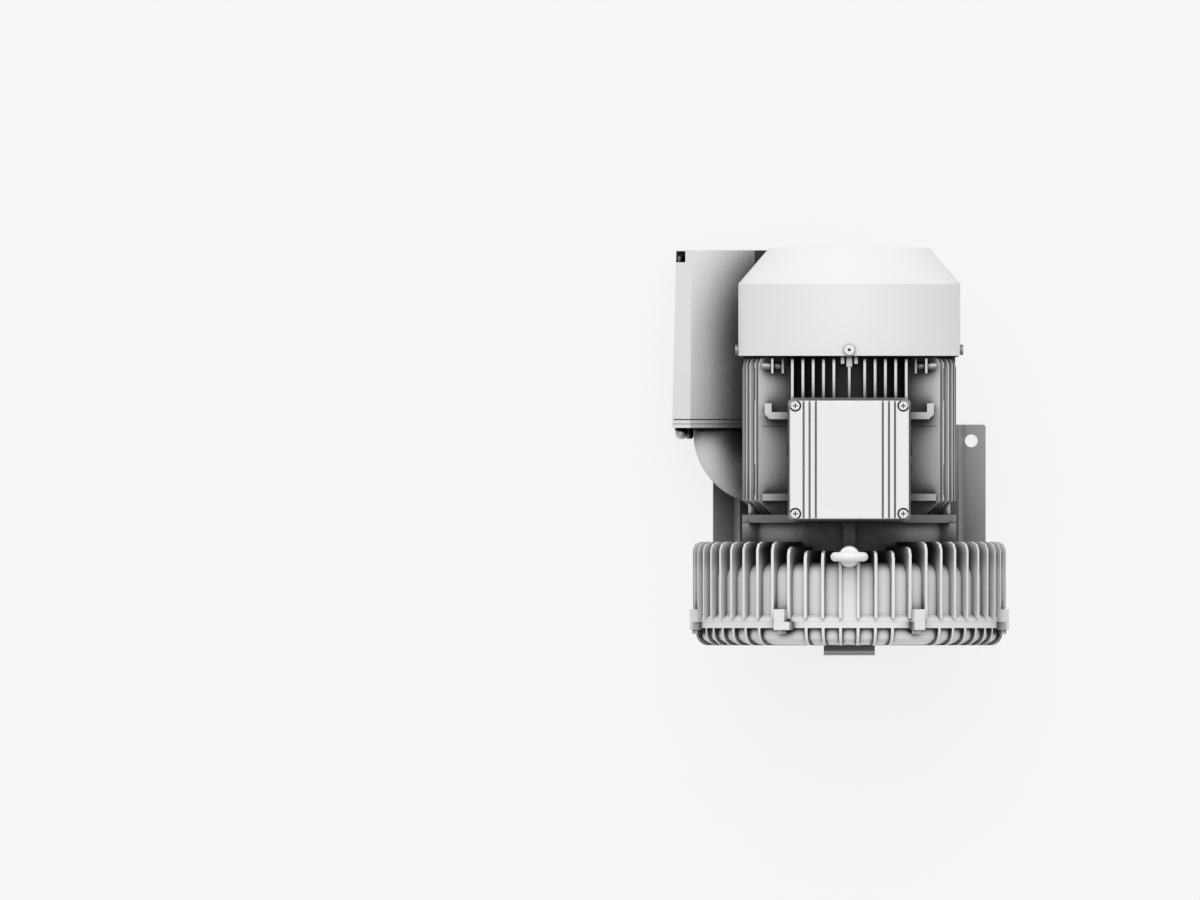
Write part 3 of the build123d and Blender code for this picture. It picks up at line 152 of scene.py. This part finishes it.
def noise(tree_nodes, links, place, scale, detail=3.0):
    """A value that wanders from place to place."""
    node = tree_nodes.new("ShaderNodeTexNoise")
    node.inputs["Scale"].default_value = scale
    node.inputs["Detail"].default_value = detail
    links.new(place, node.inputs["Vector"])
    return node.outputs["Fac"]


def ramp(tree_nodes, links, source, *stops):
    """Colours spread over a 0 to 1 value; each stop is a position and a colour."""
    node = tree_nodes.new("ShaderNodeValToRGB")
    strip = node.color_ramp.elements
    while len(strip) < len(stops):
        strip.new(0.5)
    for element, (position, colour) in zip(strip, stops):
        element.position = position
        element.color = (*colour, 1.0)
    links.new(source, node.inputs["Fac"])
    return node.outputs["Color"]


def remap(tree_nodes, links, source, from_low, from_high, to_low, to_high):
    """A value moved from one range to another, with soft ends."""
    node = tree_nodes.new("ShaderNodeMapRange")
    node.interpolation_type = "SMOOTHSTEP"
    node.inputs["From Min"].default_value = from_low
    node.inputs["From Max"].default_value = from_high
    node.inputs["To Min"].default_value = to_low
    node.inputs["To Max"].default_value = to_high
    links.new(source, node.inputs["Value"])
    return node.outputs["Result"]


def multiply(tree_nodes, links, first, second, share=1.0):
    """Two colours multiplied; share, a number or a node's output, is how much of the second is felt."""
    node = tree_nodes.new("ShaderNodeMix")
    node.data_type = "RGBA"
    node.blend_type = "MULTIPLY"
    if isinstance(share, bpy.types.NodeSocket):
        links.new(share, node.inputs["Factor"])
    else:
        node.inputs["Factor"].default_value = share
    links.new(first, node.inputs["A"])
    links.new(second, node.inputs["B"])
    return node.outputs["Result"]


def bump(tree_nodes, links, relief, strength, depth, under=None):
    """A normal bent by a relief of some depth in metres, laid over another normal if one is given."""
    node = tree_nodes.new("ShaderNodeBump")
    node.inputs["Strength"].default_value = strength
    node.inputs["Distance"].default_value = depth
    links.new(relief, node.inputs["Height"])
    if under is not None:
        links.new(under, node.inputs["Normal"])
    return node.outputs["Normal"]


def wander_roughness(tree_nodes, links, shader, source, low, high):
    """Roughness that follows a noise from low to high."""
    rough = remap(tree_nodes, links, source, noise_low, noise_high, low, high)
    links.new(rough, shader.inputs["Roughness"])


# %% [markdown]
# ## Table
# The machine stands on a light table: a milky sheet lit from below. That is how catalogue pictures get a
# background with almost no shadow. Its own light keeps the shadow of the machine faint, and the small
# diffuse share is what still shows where the foot stands.

# %% Table
table_half = 25.0
table_gap = 0.0002
table_glow = 0.83
glow_tint = (0.975, 0.992, 1.0, 1.0)
sheet_tints = ((0.118, 0.120, 0.122), (0.122, 0.124, 0.126))

table_mesh = bpy.data.meshes.new("light_table")
table_corners = [(x * table_half, y * table_half, 0) for x, y in ((-1, -1), (1, -1), (1, 1), (-1, 1))]
table_mesh.from_pydata(table_corners, [], [(0, 1, 2, 3)])
table = bpy.data.objects.new("light_table", table_mesh)
table.location.z = cad_low[2] - table_gap
scene.collection.objects.link(table)


def milky_sheet():
    """Frosted acrylic lit from behind, with a hardly visible unevenness."""
    finish, tree_nodes, links, shader, place = new_finish("milky_sheet")
    cloud = noise(tree_nodes, links, place, scale=3.0, detail=2.0)
    tint = ramp(tree_nodes, links, cloud, (0.0, sheet_tints[0]), (1.0, sheet_tints[1]))
    links.new(tint, shader.inputs["Base Color"])
    shader.inputs["Roughness"].default_value = 0.95
    shader.inputs["Specular IOR Level"].default_value = 0.0
    shader.inputs["Emission Color"].default_value = glow_tint
    shader.inputs["Emission Strength"].default_value = table_glow
    return finish


table_mesh.materials.append(milky_sheet())
print("table stands at z =", round(table.location.z, 4))

# %% [markdown]
# ## Paint shop
# Every painted part gets the same kind of recipe. A Principled shader carries the paint. Its colour
# wanders a little because sprayed paint is never even, and the Ambient Occlusion node darkens it in deep
# places as painted shade. Its roughness wanders too. Two noises at different scales drive two
# Bump nodes: a broad one for the casting's skin and a fine one for the orange peel of the paint. All
# noises read object coordinates, which are metres here, so a scale of 400 makes grains of 2.5 mm.

# %% Scales of the paint
cloud_scale = 22.0
casting_scale = 260.0
casting_depth = 0.0006
peel_scale = 900.0
peel_depth = 0.0002
print("casting grain in mm:", round(1000 / casting_scale, 1), "orange peel:", round(1000 / peel_scale, 1))

# %% [markdown]
# ## Painted shade in deep places
# Ambient occlusion tells how much of the surroundings a point can see within a reach. A plain multiply
# would grey everything. This ramp leaves open faces alone, bends steeply where about half the view is
# blocked, and ends near black in the grooves between fins: painted shade, darker than the lamps make it.


# %% Shade recipe
def deep_shade(tree_nodes, links, reach, bite=0.0):
    """Painted shade: dark where little of the surroundings is seen within reach, in metres; bite moves the
    dark end up.
    """
    node = tree_nodes.new("ShaderNodeAmbientOcclusion")
    node.samples = 16
    node.inputs["Distance"].default_value = reach
    greys = [(0.38 + bite, 0.02), (0.52 + bite, 0.16), (0.64 + bite, 0.52),
             (0.80 + bite / 2, 0.86), (1.0, 1.0)]
    stops = [(seen, (grey, grey, grey)) for seen, grey in greys]
    return ramp(tree_nodes, links, node.outputs["AO"], *stops)


# %% [markdown]
# ## Worn edges
# No cast or pressed edge is perfectly sharp, and it is the narrow bright line along an edge that makes
# metal look real. The Bevel node bends the shading over the last 0.8 mm before a corner, as if the edge
# were rounded, and the mesh needs no extra faces for it. The bumps are then laid over it.

# %% Size of the worn edge
edge_radius = 0.0008
print("edges are rounded over", 1000 * edge_radius, "mm")


# %% Round the shading of edges
def rounded_edge(tree_nodes):
    """A normal that turns smoothly round sharp corners."""
    node = tree_nodes.new("ShaderNodeBevel")
    node.samples = 6
    node.inputs["Radius"].default_value = edge_radius
    return node.outputs["Normal"]


# %% [markdown]
# ## Places with painted shade and painted light
# The casing's neck is painted a little darker than its ribs, and the flange where the motor is bolted on
# much darker still: painted shade of the valley between casing and terminal box. Object coordinates give the
# place of each point, so a smooth step along Y or Z becomes a mask with which one part can wear two greys.
# A third mask, with a wide step, puts more painted shade in the gap behind the ribs. A mask by height
# lightens the motor's raised hooks and lugs with painted light.

# %% Where the masks lie
neck_front = -0.0105
flange_front = 0.0075
# painted shade: a second shade reach near the neck, with a wide step along Y
neck_shade_middle = -0.030
neck_shade_spread = 0.015
neck_shade_reach = 0.06
neck_shade_bite = -0.06
# parts above this height get painted light
raised_light_height = 0.246
raised_light_spread = 0.003
print("neck behind y =", neck_front, "flange behind y =", flange_front, "clean above z =", raised_light_height)


# %% Masks by place
def place_mask(tree_nodes, links, place, axis, border, spread=0.001):
    """0 before the border and 1 beyond it, along one axis of the object."""
    split = tree_nodes.new("ShaderNodeSeparateXYZ")
    links.new(place, split.inputs["Vector"])
    return remap(tree_nodes, links, split.outputs[axis], border - spread, border + spread, 0.0, 1.0)


def plain_grey(tree_nodes, level):
    """A single grey as a node output; levels over 1 lighten what they multiply."""
    node = tree_nodes.new("ShaderNodeCombineColor")
    for channel in ("Red", "Green", "Blue"):
        node.inputs[channel].default_value = level
    return node.outputs["Color"]


def masked_grey(tree_nodes, links, paint, level, mask):
    """Paint multiplied by a grey where the mask is 1."""
    return multiply(tree_nodes, links, paint, plain_grey(tree_nodes, level), mask)


# %% Painted metal
def painted(name, grey, skin, roughness=0.5, cloudy=0.02, reach=0.09, share=1.0, bite=0.0,
            neck=None, raised_light=None, near=None):
    """Sprayed paint over metal.

    skin is the strength of the casting's grain, cloudy how far the grey wanders, and share how strong the
    painted shade in deep places is; reach and bite shape it, and near gives them again for a second one.
    neck holds the greys of the neck's and flange's painted shade, clean the grey of the lugs' painted light.
    """
    finish, tree_nodes, links, shader, place = new_finish(name)
    cloud = noise(tree_nodes, links, place, cloud_scale)
    thin, thick = [grey - cloudy] * 3, [grey + cloudy] * 3
    paint = ramp(tree_nodes, links, cloud, (noise_low, thin), (noise_high, thick))
    # painted shade in deep places
    shade = deep_shade(tree_nodes, links, reach, bite)
    # painted shade on the neck and flange, and more of it near the neck
    if neck is not None:
        neck_shade_grey, flange_shade_grey = neck
        behind_ribs = place_mask(tree_nodes, links, place, "Y", neck_front)
        on_flange = place_mask(tree_nodes, links, place, "Y", flange_front)
        neck_shade_mask = place_mask(tree_nodes, links, place, "Y", neck_shade_middle, neck_shade_spread)
        paint = masked_grey(tree_nodes, links, paint, neck_shade_grey, behind_ribs)
        paint = masked_grey(tree_nodes, links, paint, flange_shade_grey, on_flange)
        extra_neck_shade = deep_shade(tree_nodes, links, neck_shade_reach, neck_shade_bite)
        shade = multiply(tree_nodes, links, shade, extra_neck_shade, neck_shade_mask)
    # painted light on the raised hooks and lugs
    if raised_light is not None:
        raised_light_mask = place_mask(tree_nodes, links, place, "Z", raised_light_height, raised_light_spread)
        paint = masked_grey(tree_nodes, links, paint, raised_light, raised_light_mask)
    # a second painted shade with a shorter reach
    if near is not None:
        shade = multiply(tree_nodes, links, shade, deep_shade(tree_nodes, links, *near))
    links.new(multiply(tree_nodes, links, paint, shade, share), shader.inputs["Base Color"])
    peel = noise(tree_nodes, links, place, peel_scale, detail=2.0)
    wander_roughness(tree_nodes, links, shader, peel, roughness - 0.05, roughness + 0.05)
    grain = noise(tree_nodes, links, place, casting_scale, detail=5.0)
    coarse = bump(tree_nodes, links, grain, skin, casting_depth, under=rounded_edge(tree_nodes))
    fine = bump(tree_nodes, links, peel, skin * 0.5, peel_depth, under=coarse)
    links.new(fine, shader.inputs["Normal"])
    return finish


# %% [markdown]
# ## Bare metal, rubber, plastic and foam
# Zinc plate and ground steel are metals with faint streaks, so their noise is stretched along one axis.
# Rubber and moulded plastic are dull and nearly black, and only their roughness tells them apart.

# %% Scales of bare metal
streak_scale = 300.0
streak_depth = 0.0001
streak_dark = 0.86
metal_shade_reach = 0.03
print("streaks in mm:", round(1000 / streak_scale, 1), "darkened to", streak_dark)


# %% Metals and dark parts
def metal(name, colour, roughness, streak=(1.0, 1.0, 14.0)):
    """Bare or plated metal with fine streaks and painted shade in deep places."""
    finish, tree_nodes, links, shader, place = new_finish(name)
    shader.inputs["Metallic"].default_value = 1.0
    stretch = tree_nodes.new("ShaderNodeMapping")
    stretch.inputs["Scale"].default_value = streak
    links.new(place, stretch.inputs["Vector"])
    grain = noise(tree_nodes, links, stretch.outputs["Vector"], streak_scale, detail=4.0)
    low = [channel * streak_dark for channel in colour]
    tint = ramp(tree_nodes, links, grain, (noise_low, low), (noise_high, colour))
    # painted shade: bare metal darker where little is seen within the reach
    shade = deep_shade(tree_nodes, links, metal_shade_reach)
    links.new(multiply(tree_nodes, links, tint, shade), shader.inputs["Base Color"])
    wander_roughness(tree_nodes, links, shader, grain, roughness - 0.07, roughness + 0.07)
    links.new(bump(tree_nodes, links, grain, 0.15, streak_depth), shader.inputs["Normal"])
    return finish


def moulded(name, colour, roughness, grain_scale, depth):
    """Rubber, plastic or foam: one dull colour broken up by its own grain."""
    finish, tree_nodes, links, shader, place = new_finish(name)
    grain = noise(tree_nodes, links, place, grain_scale, detail=4.0)
    light = [min(1.0, channel * 1.35 + 0.004) for channel in colour]
    links.new(ramp(tree_nodes, links, grain, (0.35, colour), (0.65, light)), shader.inputs["Base Color"])
    wander_roughness(tree_nodes, links, shader, grain, roughness - 0.08, roughness + 0.06)
    links.new(bump(tree_nodes, links, grain, 0.4, depth), shader.inputs["Normal"])
    return finish


# %% Mix the finishes
# reach, bite, share and near set each paint's painted shade, neck the painted shade of neck and flange
casing_paint = painted("casing_paint", 0.90, skin=0.15, roughness=0.52, reach=0.05, bite=-0.20,
                       neck=(0.90, 0.24))
cover_paint = painted("cover_paint", 0.90, skin=0.15, roughness=0.52, reach=0.05, bite=0.09)
# the motor's raised lugs are lightened as painted light
motor_paint = painted("motor_paint", 0.76, skin=0.12, roughness=0.55, raised_light=1.22)
cowl_paint = painted("cowl_paint", 0.93, skin=0.05, roughness=0.45, cloudy=0.005, reach=0.30, share=0.8)
lid_paint = painted("lid_paint", 0.92, skin=0.08, roughness=0.45, cloudy=0.005, reach=0.01)
# the terminal box is dark grey as painted shade round the lid's edges
box_paint = painted("box_paint", 0.40, skin=0.12)
silencer_paint = painted("silencer_paint", 0.90, skin=0.02, cloudy=0.01, reach=0.16, bite=0.04,
                         near=(0.07, 0.10))
elbow_paint = painted("elbow_paint", 0.90, skin=0.12, reach=0.14, bite=0.05)
foot_paint = painted("foot_paint", 0.50, skin=0.08, reach=0.12)
eye_paint = painted("eye_paint", 0.99, skin=0.06, roughness=0.45, cloudy=0.01, reach=0.01, share=0.2)
zinc_plate = metal("zinc_plate", (0.80, 0.80, 0.81), 0.48)
dull_zinc = metal("dull_zinc", (0.50, 0.50, 0.51), 0.52)
ground_steel = metal("ground_steel", (0.55, 0.55, 0.56), 0.28, streak=(1.0, 14.0, 1.0))
core_steel = metal("core_steel", (0.20, 0.20, 0.21), 0.55, streak=(1.0, 60.0, 1.0))
cast_aluminium = metal("cast_aluminium", (0.70, 0.70, 0.71), 0.42, streak=(1.0, 1.0, 1.0))
copper_wire = metal("copper_wire", (0.48, 0.20, 0.08), 0.40, streak=(6.0, 1.0, 6.0))
brass = metal("brass", (0.70, 0.52, 0.22), 0.32)
seal_rubber = moulded("seal_rubber", (0.018, 0.018, 0.018), 0.78, grain_scale=500.0, depth=0.0003)
black_plastic = moulded("black_plastic", (0.022, 0.022, 0.023), 0.55, grain_scale=900.0, depth=0.0002)
sound_foam = moulded("sound_foam", (0.05, 0.05, 0.05), 0.92, grain_scale=260.0, depth=0.002)
print("mixed, from", casing_paint.name, "to", sound_foam.name)

# %% [markdown]
# ## Which part gets which finish
# A dictionary from finish to part names reads like the paint shop's own list. Every part has to be on it:
# the check after the loop stops the lesson if one was missed and would keep its plain CAD colour.

# %% Hand out the finishes
finish_list = {
    casing_paint: ["casing_housing"],
    cover_paint: ["casing_cover"],
    motor_paint: ["motor_frame", "rear_shield"],
    cowl_paint: ["fan_cowl"],
    lid_paint: ["terminal_lid"],
    box_paint: ["terminal_box"],
    silencer_paint: ["silencer_housing", "silencer_cap"],
    elbow_paint: ["elbow"],
    foot_paint: ["foot_bracket"],
    eye_paint: ["lifting_eye"],
    zinc_plate: ["casing_bolts", "impeller_bolt", "flange_bolts", "shield_screws", "cowl_screws",
                 "terminal_box_screws", "lid_screws", "elbow_bolts", "foot_bolts"],
    dull_zinc: ["side_studs", "tie_bolts"],
    ground_steel: ["impeller_key", "impeller_washer", "motor_shaft", "bearing_outer_rings",
                   "bearing_inner_rings", "spring_washer", "fan_clip", "silencer_liner"],
    core_steel: ["rotor_core", "stator_core"],
    cast_aluminium: ["impeller"],
    copper_wire: ["stator_windings"],
    brass: ["terminal_studs"],
    seal_rubber: ["shaft_seal", "terminal_gasket", "elbow_gasket"],
    black_plastic: ["cooling_fan", "entry_plugs", "terminal_board"],
    sound_foam: ["silencer_foam"],
}
for finish, names in finish_list.items():
    for name in names:
        solid = nodes[name].data
        solid.materials.clear()
        solid.materials.append(finish)
dressed = {name for names in finish_list.values() for name in names}
assert dressed == set(nodes), sorted(set(nodes) - dressed)
print("parts with a finish:", len(dressed))

# %% [markdown]
# ## Soft shading
# A CAD mesh is made of flat triangles, and its cylinders look faceted. The mesh itself must stay as it is,
# but a Geometry Nodes modifier may sit on top of it. This one joins the loose triangles, measures the
# angle between neighbours and lets the light flow smoothly over every edge flatter than 28 degrees.

# %% Limits of the smoothing
smooth_limit = math.radians(28.0)
weld_distance = 0.000005
print("edges over", round(math.degrees(smooth_limit)), "degrees stay sharp")


# %% Smooth by angle
def smoothing_recipe(name):
    """A node group that welds a mesh and keeps only its real corners sharp."""
    group = bpy.data.node_groups.new(name, "GeometryNodeTree")
    group.interface.new_socket("Geometry", in_out="INPUT", socket_type="NodeSocketGeometry")
    group.interface.new_socket("Geometry", in_out="OUTPUT", socket_type="NodeSocketGeometry")
    entry = group.nodes.new("NodeGroupInput")
    leave = group.nodes.new("NodeGroupOutput")
    weld = group.nodes.new("GeometryNodeMergeByDistance")
    weld.inputs["Distance"].default_value = weld_distance
    faces = group.nodes.new("GeometryNodeSetShadeSmooth")
    faces.domain = "FACE"
    edges = group.nodes.new("GeometryNodeSetShadeSmooth")
    edges.domain = "EDGE"
    angle = group.nodes.new("GeometryNodeInputMeshEdgeAngle")
    flat = group.nodes.new("FunctionNodeCompare")
    flat.data_type = "FLOAT"
    flat.operation = "LESS_THAN"
    flat.inputs["B"].default_value = smooth_limit
    links = group.links
    links.new(entry.outputs[0], weld.inputs["Geometry"])
    links.new(weld.outputs["Geometry"], faces.inputs["Geometry"])
    links.new(faces.outputs["Geometry"], edges.inputs["Geometry"])
    links.new(angle.outputs["Unsigned Angle"], flat.inputs["A"])
    links.new(flat.outputs["Result"], edges.inputs["Shade Smooth"])
    links.new(edges.outputs["Geometry"], leave.inputs[0])
    return group


smooth_by_angle = smoothing_recipe("smooth_by_angle")
for solid in nodes.values():
    solid.modifiers.new("smooth_by_angle", "NODES").node_group = smooth_by_angle
print("smoothed:", len(nodes))

# %% [markdown]
# ## Turning and sweeping
# Most round castings are either turned or swept. Turning spins a half outline about an axis, and sweeping
# carries a ring along a path. Both only need rings of points joined into four-sided faces, so one small
# helper makes the skin for both.

# %% Directions
across = Vector((1, 0, 0))
along = Vector((0, 1, 0))
upward = Vector((0, 0, 1))
sharp_limit = math.radians(40)
print("edges of the new pieces over", round(math.degrees(sharp_limit)), "degrees stay sharp")


# %% A skin over rings of points
def skin(name, rings, finish, closed_path=False, capped=False):
    """A mesh over equal rings of points; closed_path joins the last to the first, capped fills both ends."""
    work = bmesh.new()
    rows = [[work.verts.new(point) for point in ring] for ring in rings]
    pairs = list(zip(rows, rows[1:]))
    if closed_path:
        pairs.append((rows[-1], rows[0]))
    for low, high in pairs:
        for i in range(len(low)):
            j = (i + 1) % len(low)
            work.faces.new((low[i], low[j], high[j], high[i]))
    if capped:
        work.faces.new(rows[0])
        work.faces.new(rows[-1])
    bmesh.ops.recalc_face_normals(work, faces=work.faces)
    mesh = bpy.data.meshes.new(name)
    work.to_mesh(mesh)
    work.free()
    mesh.shade_smooth()
    mesh.materials.append(finish)
    piece = bpy.data.objects.new(name, mesh)
    scene.collection.objects.link(piece)
    return piece


def ring_points(centre, side, up, radius, count):
    """A circle of points round a centre, in the plane of two directions."""
    turns = [2 * math.pi * i / count for i in range(count)]
    return [centre + side * (radius * math.cos(t)) + up * (radius * math.sin(t)) for t in turns]


def turned_rings(origin, axis, side, up, outline, count):
    """Rings of a turned part; outline gives each ring's radius and its distance from origin along axis."""
    rings = []
    for radius, distance in outline:
        centre = Vector([start + step * distance for start, step in zip(origin, axis)])
        rings.append(ring_points(centre, side, up, radius, count))
    return rings


# %% [markdown]
# ## Lifting eye
# The eye bolt is drop forged: a round ring that flows into a flared neck and a flat collar. The CAD ring
# has an eight-sided section to stay light. Here the ring is a smooth torus, which is a circle swept along a
# circle, and the collar is turned with rounded rims.

# %% Ring of the eye
eye_low, eye_high = [Vector(corner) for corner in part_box("lifting_eye")]
eye_y = (eye_low.y + eye_high.y) / 2
eye_section = 0.0046
eye_ring_radius = (eye_high.x - eye_low.x) / 2 - eye_section
eye_ring_height = eye_high.z - eye_ring_radius - eye_section
ring_centre = Vector((0, eye_y, eye_ring_height))
ring_rows = []
for spoke in ring_points(Vector((0, 0, 0)), across, upward, radius=1.0, count=64):
    middle = ring_centre + spoke * eye_ring_radius
    ring_rows.append(ring_points(middle, spoke, along, eye_section, count=24))
eye_hoop = skin("eye_hoop", ring_rows, eye_paint, closed_path=True)
print("eye ring radius in mm:", round(1000 * eye_ring_radius, 1))

# %% Collar of the eye
collar_drop = 0.001
collar_seat = eye_high.z - 2 * eye_ring_radius - 2 * eye_section - collar_drop
collar_radius = 0.01025
collar_outline = [(0.0005, 0.0), (0.0096, 0.0), (collar_radius, 0.0006), (collar_radius, 0.0033),
                  (0.0098, 0.0039), (0.0088, 0.0042), (0.0075, 0.0048), (0.0064, 0.0058), (0.0058, 0.0070),
                  (0.0050, 0.0085), (0.0005, 0.0090)]
collar_rows = turned_rings((0, eye_y, collar_seat), upward, across, along, collar_outline, count=48)
eye_collar = skin("eye_collar", collar_rows, eye_paint, capped=True)
print("collar seat at z in mm:", round(1000 * collar_seat, 1))

# %% Seat the eye
for piece in (eye_hoop, eye_collar):
    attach(piece, "blower_body")
    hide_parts("lifting_eye")
print("seated:", eye_hoop.name, eye_collar.name)

# %% [markdown]
# ## Elbow
# The elbow is a sand casting, so its bend is a true arc. The CAD elbow is made of six mitred lengths. This
# one carries a ring along the arc in small steps. A short flare joins the pipe to its flange the way a
# casting needs it, because a sharp inner corner would tear as the metal cools.

# %% Measures of the elbow
pipe_radius = 0.030
pipe_count = 64
bend_radius = 0.0427
bend_steps = 32
spigot_length = 0.006
flange_half = 0.032
flange_corner = 0.005
flange_thickness = 0.006
flange_bevel = 0.0008
hidden_half = 0.020
hidden_corner = 0.004

elbow_low, elbow_high = [Vector(corner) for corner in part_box("elbow")]
pipe_height = (elbow_low.z + elbow_high.z) / 2
port_y = elbow_low.y + flange_half
silencer_x = elbow_low.x + pipe_radius
silencer_face = elbow_high.y - spigot_length
flange_face = elbow_high.x - flange_thickness
bend_centre = Vector((silencer_x + bend_radius, port_y + bend_radius, pipe_height))
print("bend centre in mm:", [round(1000 * c, 1) for c in bend_centre])

# %% Pipe of the elbow
port_middle = Vector((elbow_high.x, port_y, pipe_height))
pipe_rows = [ring_points(port_middle, along, upward, pipe_radius, pipe_count)]
for i in range(bend_steps + 1):
    turn = math.radians(90 * i / bend_steps)
    outward = Vector((-math.sin(turn), -math.cos(turn), 0))
    middle = bend_centre + outward * bend_radius
    pipe_rows.append(ring_points(middle, -outward, upward, pipe_radius, pipe_count))
silencer_middle = Vector((silencer_x, silencer_face, pipe_height))
pipe_rows.append(ring_points(silencer_middle, across, upward, pipe_radius, pipe_count))
elbow_pipe = skin("elbow_pipe", pipe_rows, elbow_paint, capped=True)
print("rings in the pipe:", len(pipe_rows))

# %% Flare of the elbow
flare_outline = [(pipe_radius + reach, back) for reach, back in (
    (0.0030, 0.0), (0.0017, 0.0004), (0.0008, 0.0011), (0.0002, 0.0020), (-0.0002, 0.0032))]
flare_rows = turned_rings((flange_face, port_y, pipe_height), -across, along, upward, flare_outline,
                          pipe_count)
elbow_flare = skin("elbow_flare", flare_rows, elbow_paint, closed_path=True)
print("elbow flange face at x in mm:", round(1000 * flange_face, 1))


# %% Flange of the elbow
def rounded_square(x, half, corner, steps=6):
    """Points of a square with round corners, standing across X."""
    points = []
    away = half - corner
    for quarter in range(4):
        turn = math.radians(90 * quarter + 45)
        middle = (math.copysign(away, math.cos(turn)), math.copysign(away, math.sin(turn)))
        for i in range(steps + 1):
            angle = math.radians(90 * quarter + 90 * i / steps)
            points.append(Vector((x, port_y + middle[0] + corner * math.cos(angle),
                                  pipe_height + middle[1] + corner * math.sin(angle))))
    return points


plate_rows = [rounded_square(elbow_high.x, hidden_half, hidden_corner),
              rounded_square(elbow_high.x, flange_half, flange_corner),
              rounded_square(flange_face + flange_bevel, flange_half, flange_corner),
              rounded_square(flange_face, flange_half - flange_bevel, flange_corner - flange_bevel / 2),
              rounded_square(flange_face, hidden_half, hidden_corner)]
elbow_flange = skin("elbow_flange", plate_rows, elbow_paint, closed_path=True)
elbow_flange.data.set_sharp_from_angle(angle=sharp_limit)
print("points round the flange:", len(plate_rows[0]))

# %% Seat the elbow
for piece in (elbow_pipe, elbow_flare, elbow_flange):
    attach(piece, "blower_body")
    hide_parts("elbow")
print("seated:", elbow_pipe.name, elbow_flare.name, elbow_flange.name)

# %% [markdown]
# ## Rim of the rear shield
# A bearing shield has a low rim that centres it on the barrel of the motor. It sits in the dark gap between
# the ends of the fins and the cowl. It is turned about the motor axis.

# %% Shield rim
shield_low, shield_high = [Vector(corner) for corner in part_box("rear_shield")]
cowl_low, cowl_high = [Vector(corner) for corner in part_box("fan_cowl")]
motor_axis_z = (cowl_low.z + cowl_high.z) / 2
rim_setback = 0.012
rim_width = 0.006
rim_inner = 0.080
rim_outer = 0.084
rim_bevel = 0.001
rim_front = shield_low.y + rim_setback
rim_rear = rim_front + rim_width
rim_outline = [(rim_inner, rim_front), (rim_outer, rim_front), (rim_outer, rim_rear - rim_bevel),
               (rim_outer - rim_bevel, rim_rear), (rim_inner, rim_rear)]
rim_rows = turned_rings((0, 0, motor_axis_z), along, across, upward, rim_outline, count=96)
shield_rim = skin("shield_rim", rim_rows, motor_paint, closed_path=True)
shield_rim.data.set_sharp_from_angle(angle=sharp_limit)
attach(shield_rim, "blower_body")
print("rim from y", round(1000 * rim_front, 1), "to", round(1000 * rim_rear, 1), "mm")

# %% [markdown]
# ## Domed nuts of the silencer
# The two upper tie bolts end in domed cap nuts in front of the silencer. A dome is turned too: a short drum
# that closes in a quarter of an ellipse.

# %% Cap nuts
nut_half_flats = 0.0055
nut_half_corners = 0.00635
nut_length = 0.0109
nut_gap = 0.0002
drum_length = 0.0056
dome_radius = 0.0064
dome_rise = dome_radius * 0.9
nut_outline = [(0.0005, nut_gap), (dome_radius, nut_gap), (dome_radius, drum_length)]
for degrees in (15, 30, 45, 60, 75, 86):
    turn = math.radians(degrees)
    nut_outline.append((dome_radius * math.cos(turn), drum_length + dome_rise * math.sin(turn)))

tie_low, tie_high = [Vector(corner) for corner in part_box("tie_bolts")]
upper_tie_z = tie_high.z - nut_half_corners
upper_tie_x = (tie_low.x + nut_half_flats, tie_high.x - nut_half_flats)
cap_face = tie_low.y + nut_length
for side, tie_x in zip(("left", "right"), upper_tie_x):
    nut_rows = turned_rings((tie_x, cap_face, upper_tie_z), -along, across, upward, nut_outline, count=32)
    cap_nut = skin("cap_nut_" + side, nut_rows, zinc_plate, capped=True)
    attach(cap_nut, "blower_body")
print("cap nuts at x", [round(1000 * tie_x, 1) for tie_x in upper_tie_x], "z", round(1000 * upper_tie_z, 1))
